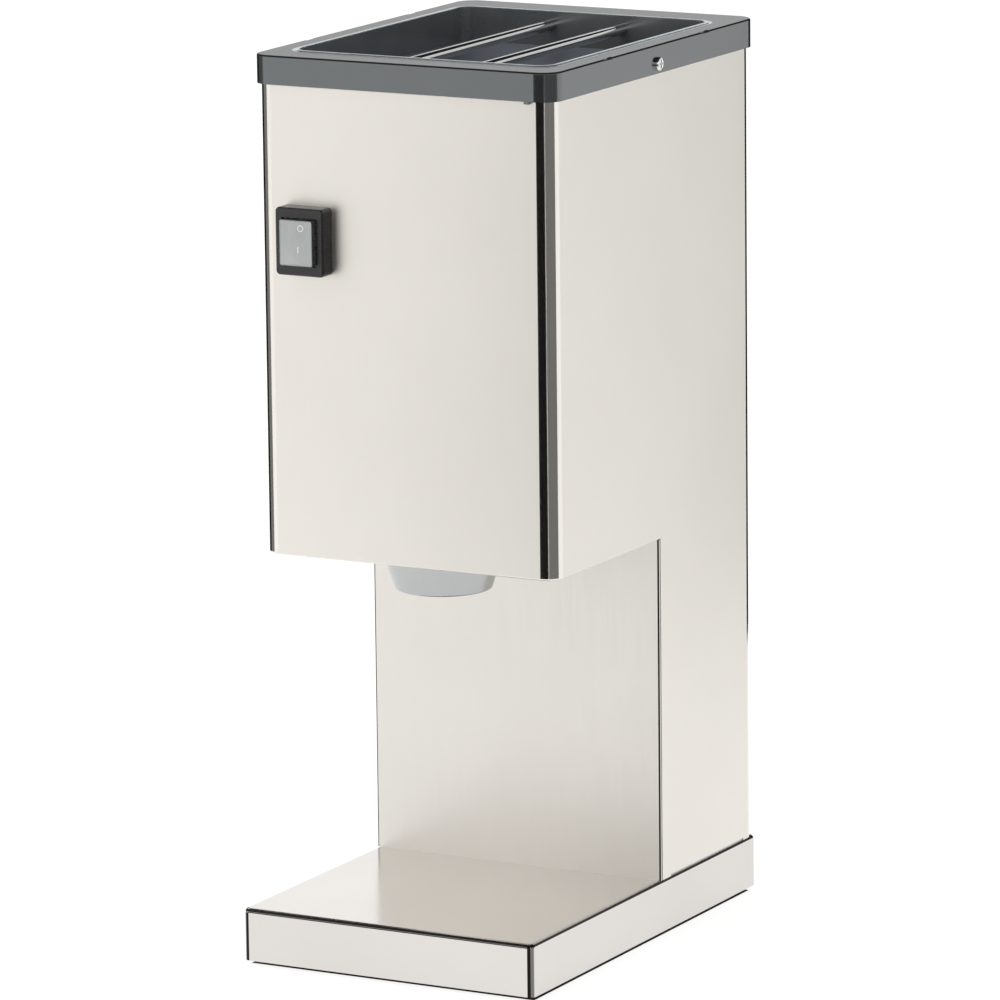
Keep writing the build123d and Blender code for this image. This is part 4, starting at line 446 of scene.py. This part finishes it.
# The distance from the mouth's outline, plus the radius of its corners.
rim_low, rim_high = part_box("hopper_rim")
side_flange, front_flange, back_flange = 0.015, 0.0223, 0.0285
mouth_radius = 0.009
mouth_front, mouth_back = rim_low.y + front_flange, rim_high.y - back_flange
mouth_middle = Vector((0, (mouth_front + mouth_back) / 2, 0))
mouth_half_width = (rim_high.x - rim_low.x) / 2 - side_flange
mouth_half = Vector((mouth_half_width, (mouth_back - mouth_front) / 2, 0))
from_mouth = rim_plastic.node_tree.nodes.new("ShaderNodeTexCoord").outputs["Object"]
for operation, value in (
    ("SUBTRACT", mouth_middle),
    ("ABSOLUTE", None),
    ("SUBTRACT", mouth_half - Vector((mouth_radius, mouth_radius, 0))),
    ("MAXIMUM", Vector((0, 0, 0))),
    ("MULTIPLY", Vector((1, 1, 0))),
    ("LENGTH", None),
):
    mouth_step = rim_plastic.node_tree.nodes.new("ShaderNodeVectorMath")
    mouth_step.operation = operation
    rim_links.new(from_mouth, mouth_step.inputs[0])
    if value is not None:
        mouth_step.inputs[1].default_value = value
    from_mouth = mouth_step.outputs["Value" if operation == "LENGTH" else "Vector"]

# Painted highlight: a bright metallic band on the flange round the mouth, lit up by a tone.
band_width, band_blur = 0.004, 0.0004
band_start, band_end = mouth_radius + band_width - band_blur, mouth_radius + band_width + band_blur
highlight_near_mouth = span(rim_plastic, from_mouth, band_start, band_end, 1.0, 0.0)
upward = span(rim_plastic, rim_faces["Z"], 0.3, 0.5, 0.0, 1.0)
painted_highlight_band = combine(rim_plastic, "MULTIPLY", highlight_near_mouth, upward)
painted_highlight_gain = 76.0
rim_links.new(painted_highlight_band, rim_shader.inputs["Metallic"])
tinted(rim_plastic, span(rim_plastic, painted_highlight_band, 0.0, 1.0, 1.0, painted_highlight_gain))
# Painted highlight: the upright inner wall at the mouth's edge, brightened by a tone.
wall_reach, wall_blur, wall_highlight_gain = 0.001, 0.0002, 5.0
wall_start, wall_end = mouth_radius + wall_reach - wall_blur, mouth_radius + wall_reach + wall_blur
at_mouth = span(rim_plastic, from_mouth, wall_start, wall_end, 1.0, 0.0)
upright = span(rim_plastic, rim_faces["Z"], 0.1, 0.2, 1.0, 0.0)
inner_wall_highlight = combine(rim_plastic, "MULTIPLY", at_mouth, upright)
tinted(rim_plastic, span(rim_plastic, inner_wall_highlight, 0.0, 1.0, 1.0, wall_highlight_gain))
finish(rim_plastic, "hopper_rim")
rod_chrome = metal("rod_chrome", grey(0.72), (0.78, 0.78, 0.785), 0.06, 0.10, 900.0, (1, 0.04, 1),
                   0.000002)
finish(rod_chrome, "guard_rods", "rim_screws")

# ---- rocker switch ------------------------------------------------------------------------
# A moulded black surround with a recess, and a black rocker under a soft, half-clear cover
# that has gone slightly milky, with painted shade on the faces that turn away from the front.
switch_plastic, _ = moulded("switch_plastic", grey(0.008), grey(0.013), 0.24, 0.32, 1600.0,
                            0.000004)
finish(switch_plastic, "switch_frame", "switch_body", "switch_rocker")
brass_tab = metal("brass_tab", (0.55, 0.40, 0.16), (0.64, 0.48, 0.21), 0.25, 0.35)
finish(brass_tab, "switch_terminals")
boot_vinyl, boot_shader = moulded("boot_vinyl", (0.50, 0.515, 0.515), (0.58, 0.595, 0.595),
                                  0.22, 0.30)
boot_shader.inputs["Alpha"].default_value = 0.46
# Painted shade: the cover's faces that turn away from the front are darkened by this tone.
boot_side_shade = 0.12
tinted(boot_vinyl, span(boot_vinyl, turned(boot_vinyl)["Y"], 0.3, 0.8, boot_side_shade, 1.0))
finish(boot_vinyl, "switch_boot")

# ---- marks on the switch ------------------------------------------------------------------
# A small raised ring for off and a bar for on, moulded in pale plastic on the front of the
# soft cover, a little right of its middle.
mark_white, _ = moulded("mark_white", grey(0.62), grey(0.72), 0.35, 0.5)
boot_low, boot_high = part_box("switch_boot")
boot_front = boot_low.y
boot_x = (boot_low.x + boot_high.x) / 2
boot_z = (boot_low.z + boot_high.z) / 2
off_right, off_up = 0.0032, 0.0083
bpy.ops.mesh.primitive_torus_add(
    location=(boot_x + off_right, boot_front, boot_z + off_up), rotation=(pi / 2, 0, 0),
    major_segments=40, minor_segments=8, major_radius=0.0016, minor_radius=0.00025,
)
off_mark = bpy.context.object
off_mark.name = "off_mark"
off_mark.scale = (1, 1, 0.5)
on_right, on_down = 0.0016, 0.0035
bpy.ops.mesh.primitive_cube_add(size=1, location=(boot_x + on_right, boot_front, boot_z - on_down))
on_mark = bpy.context.object
on_mark.name = "on_mark"
bar_width, bar_depth, bar_length = 0.0005, 0.00026, 0.0034
on_mark.scale = (bar_width, bar_depth, bar_length)
for mark in (off_mark, on_mark):
    bpy.ops.object.select_all(action="DESELECT")
    mark.select_set(True)
    bpy.context.view_layer.objects.active = mark
    bpy.ops.object.transform_apply(location=True, rotation=True, scale=True)
    mark.data.materials.append(mark_white)
    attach(mark, "cabinet")
bpy.ops.object.select_all(action="DESELECT")
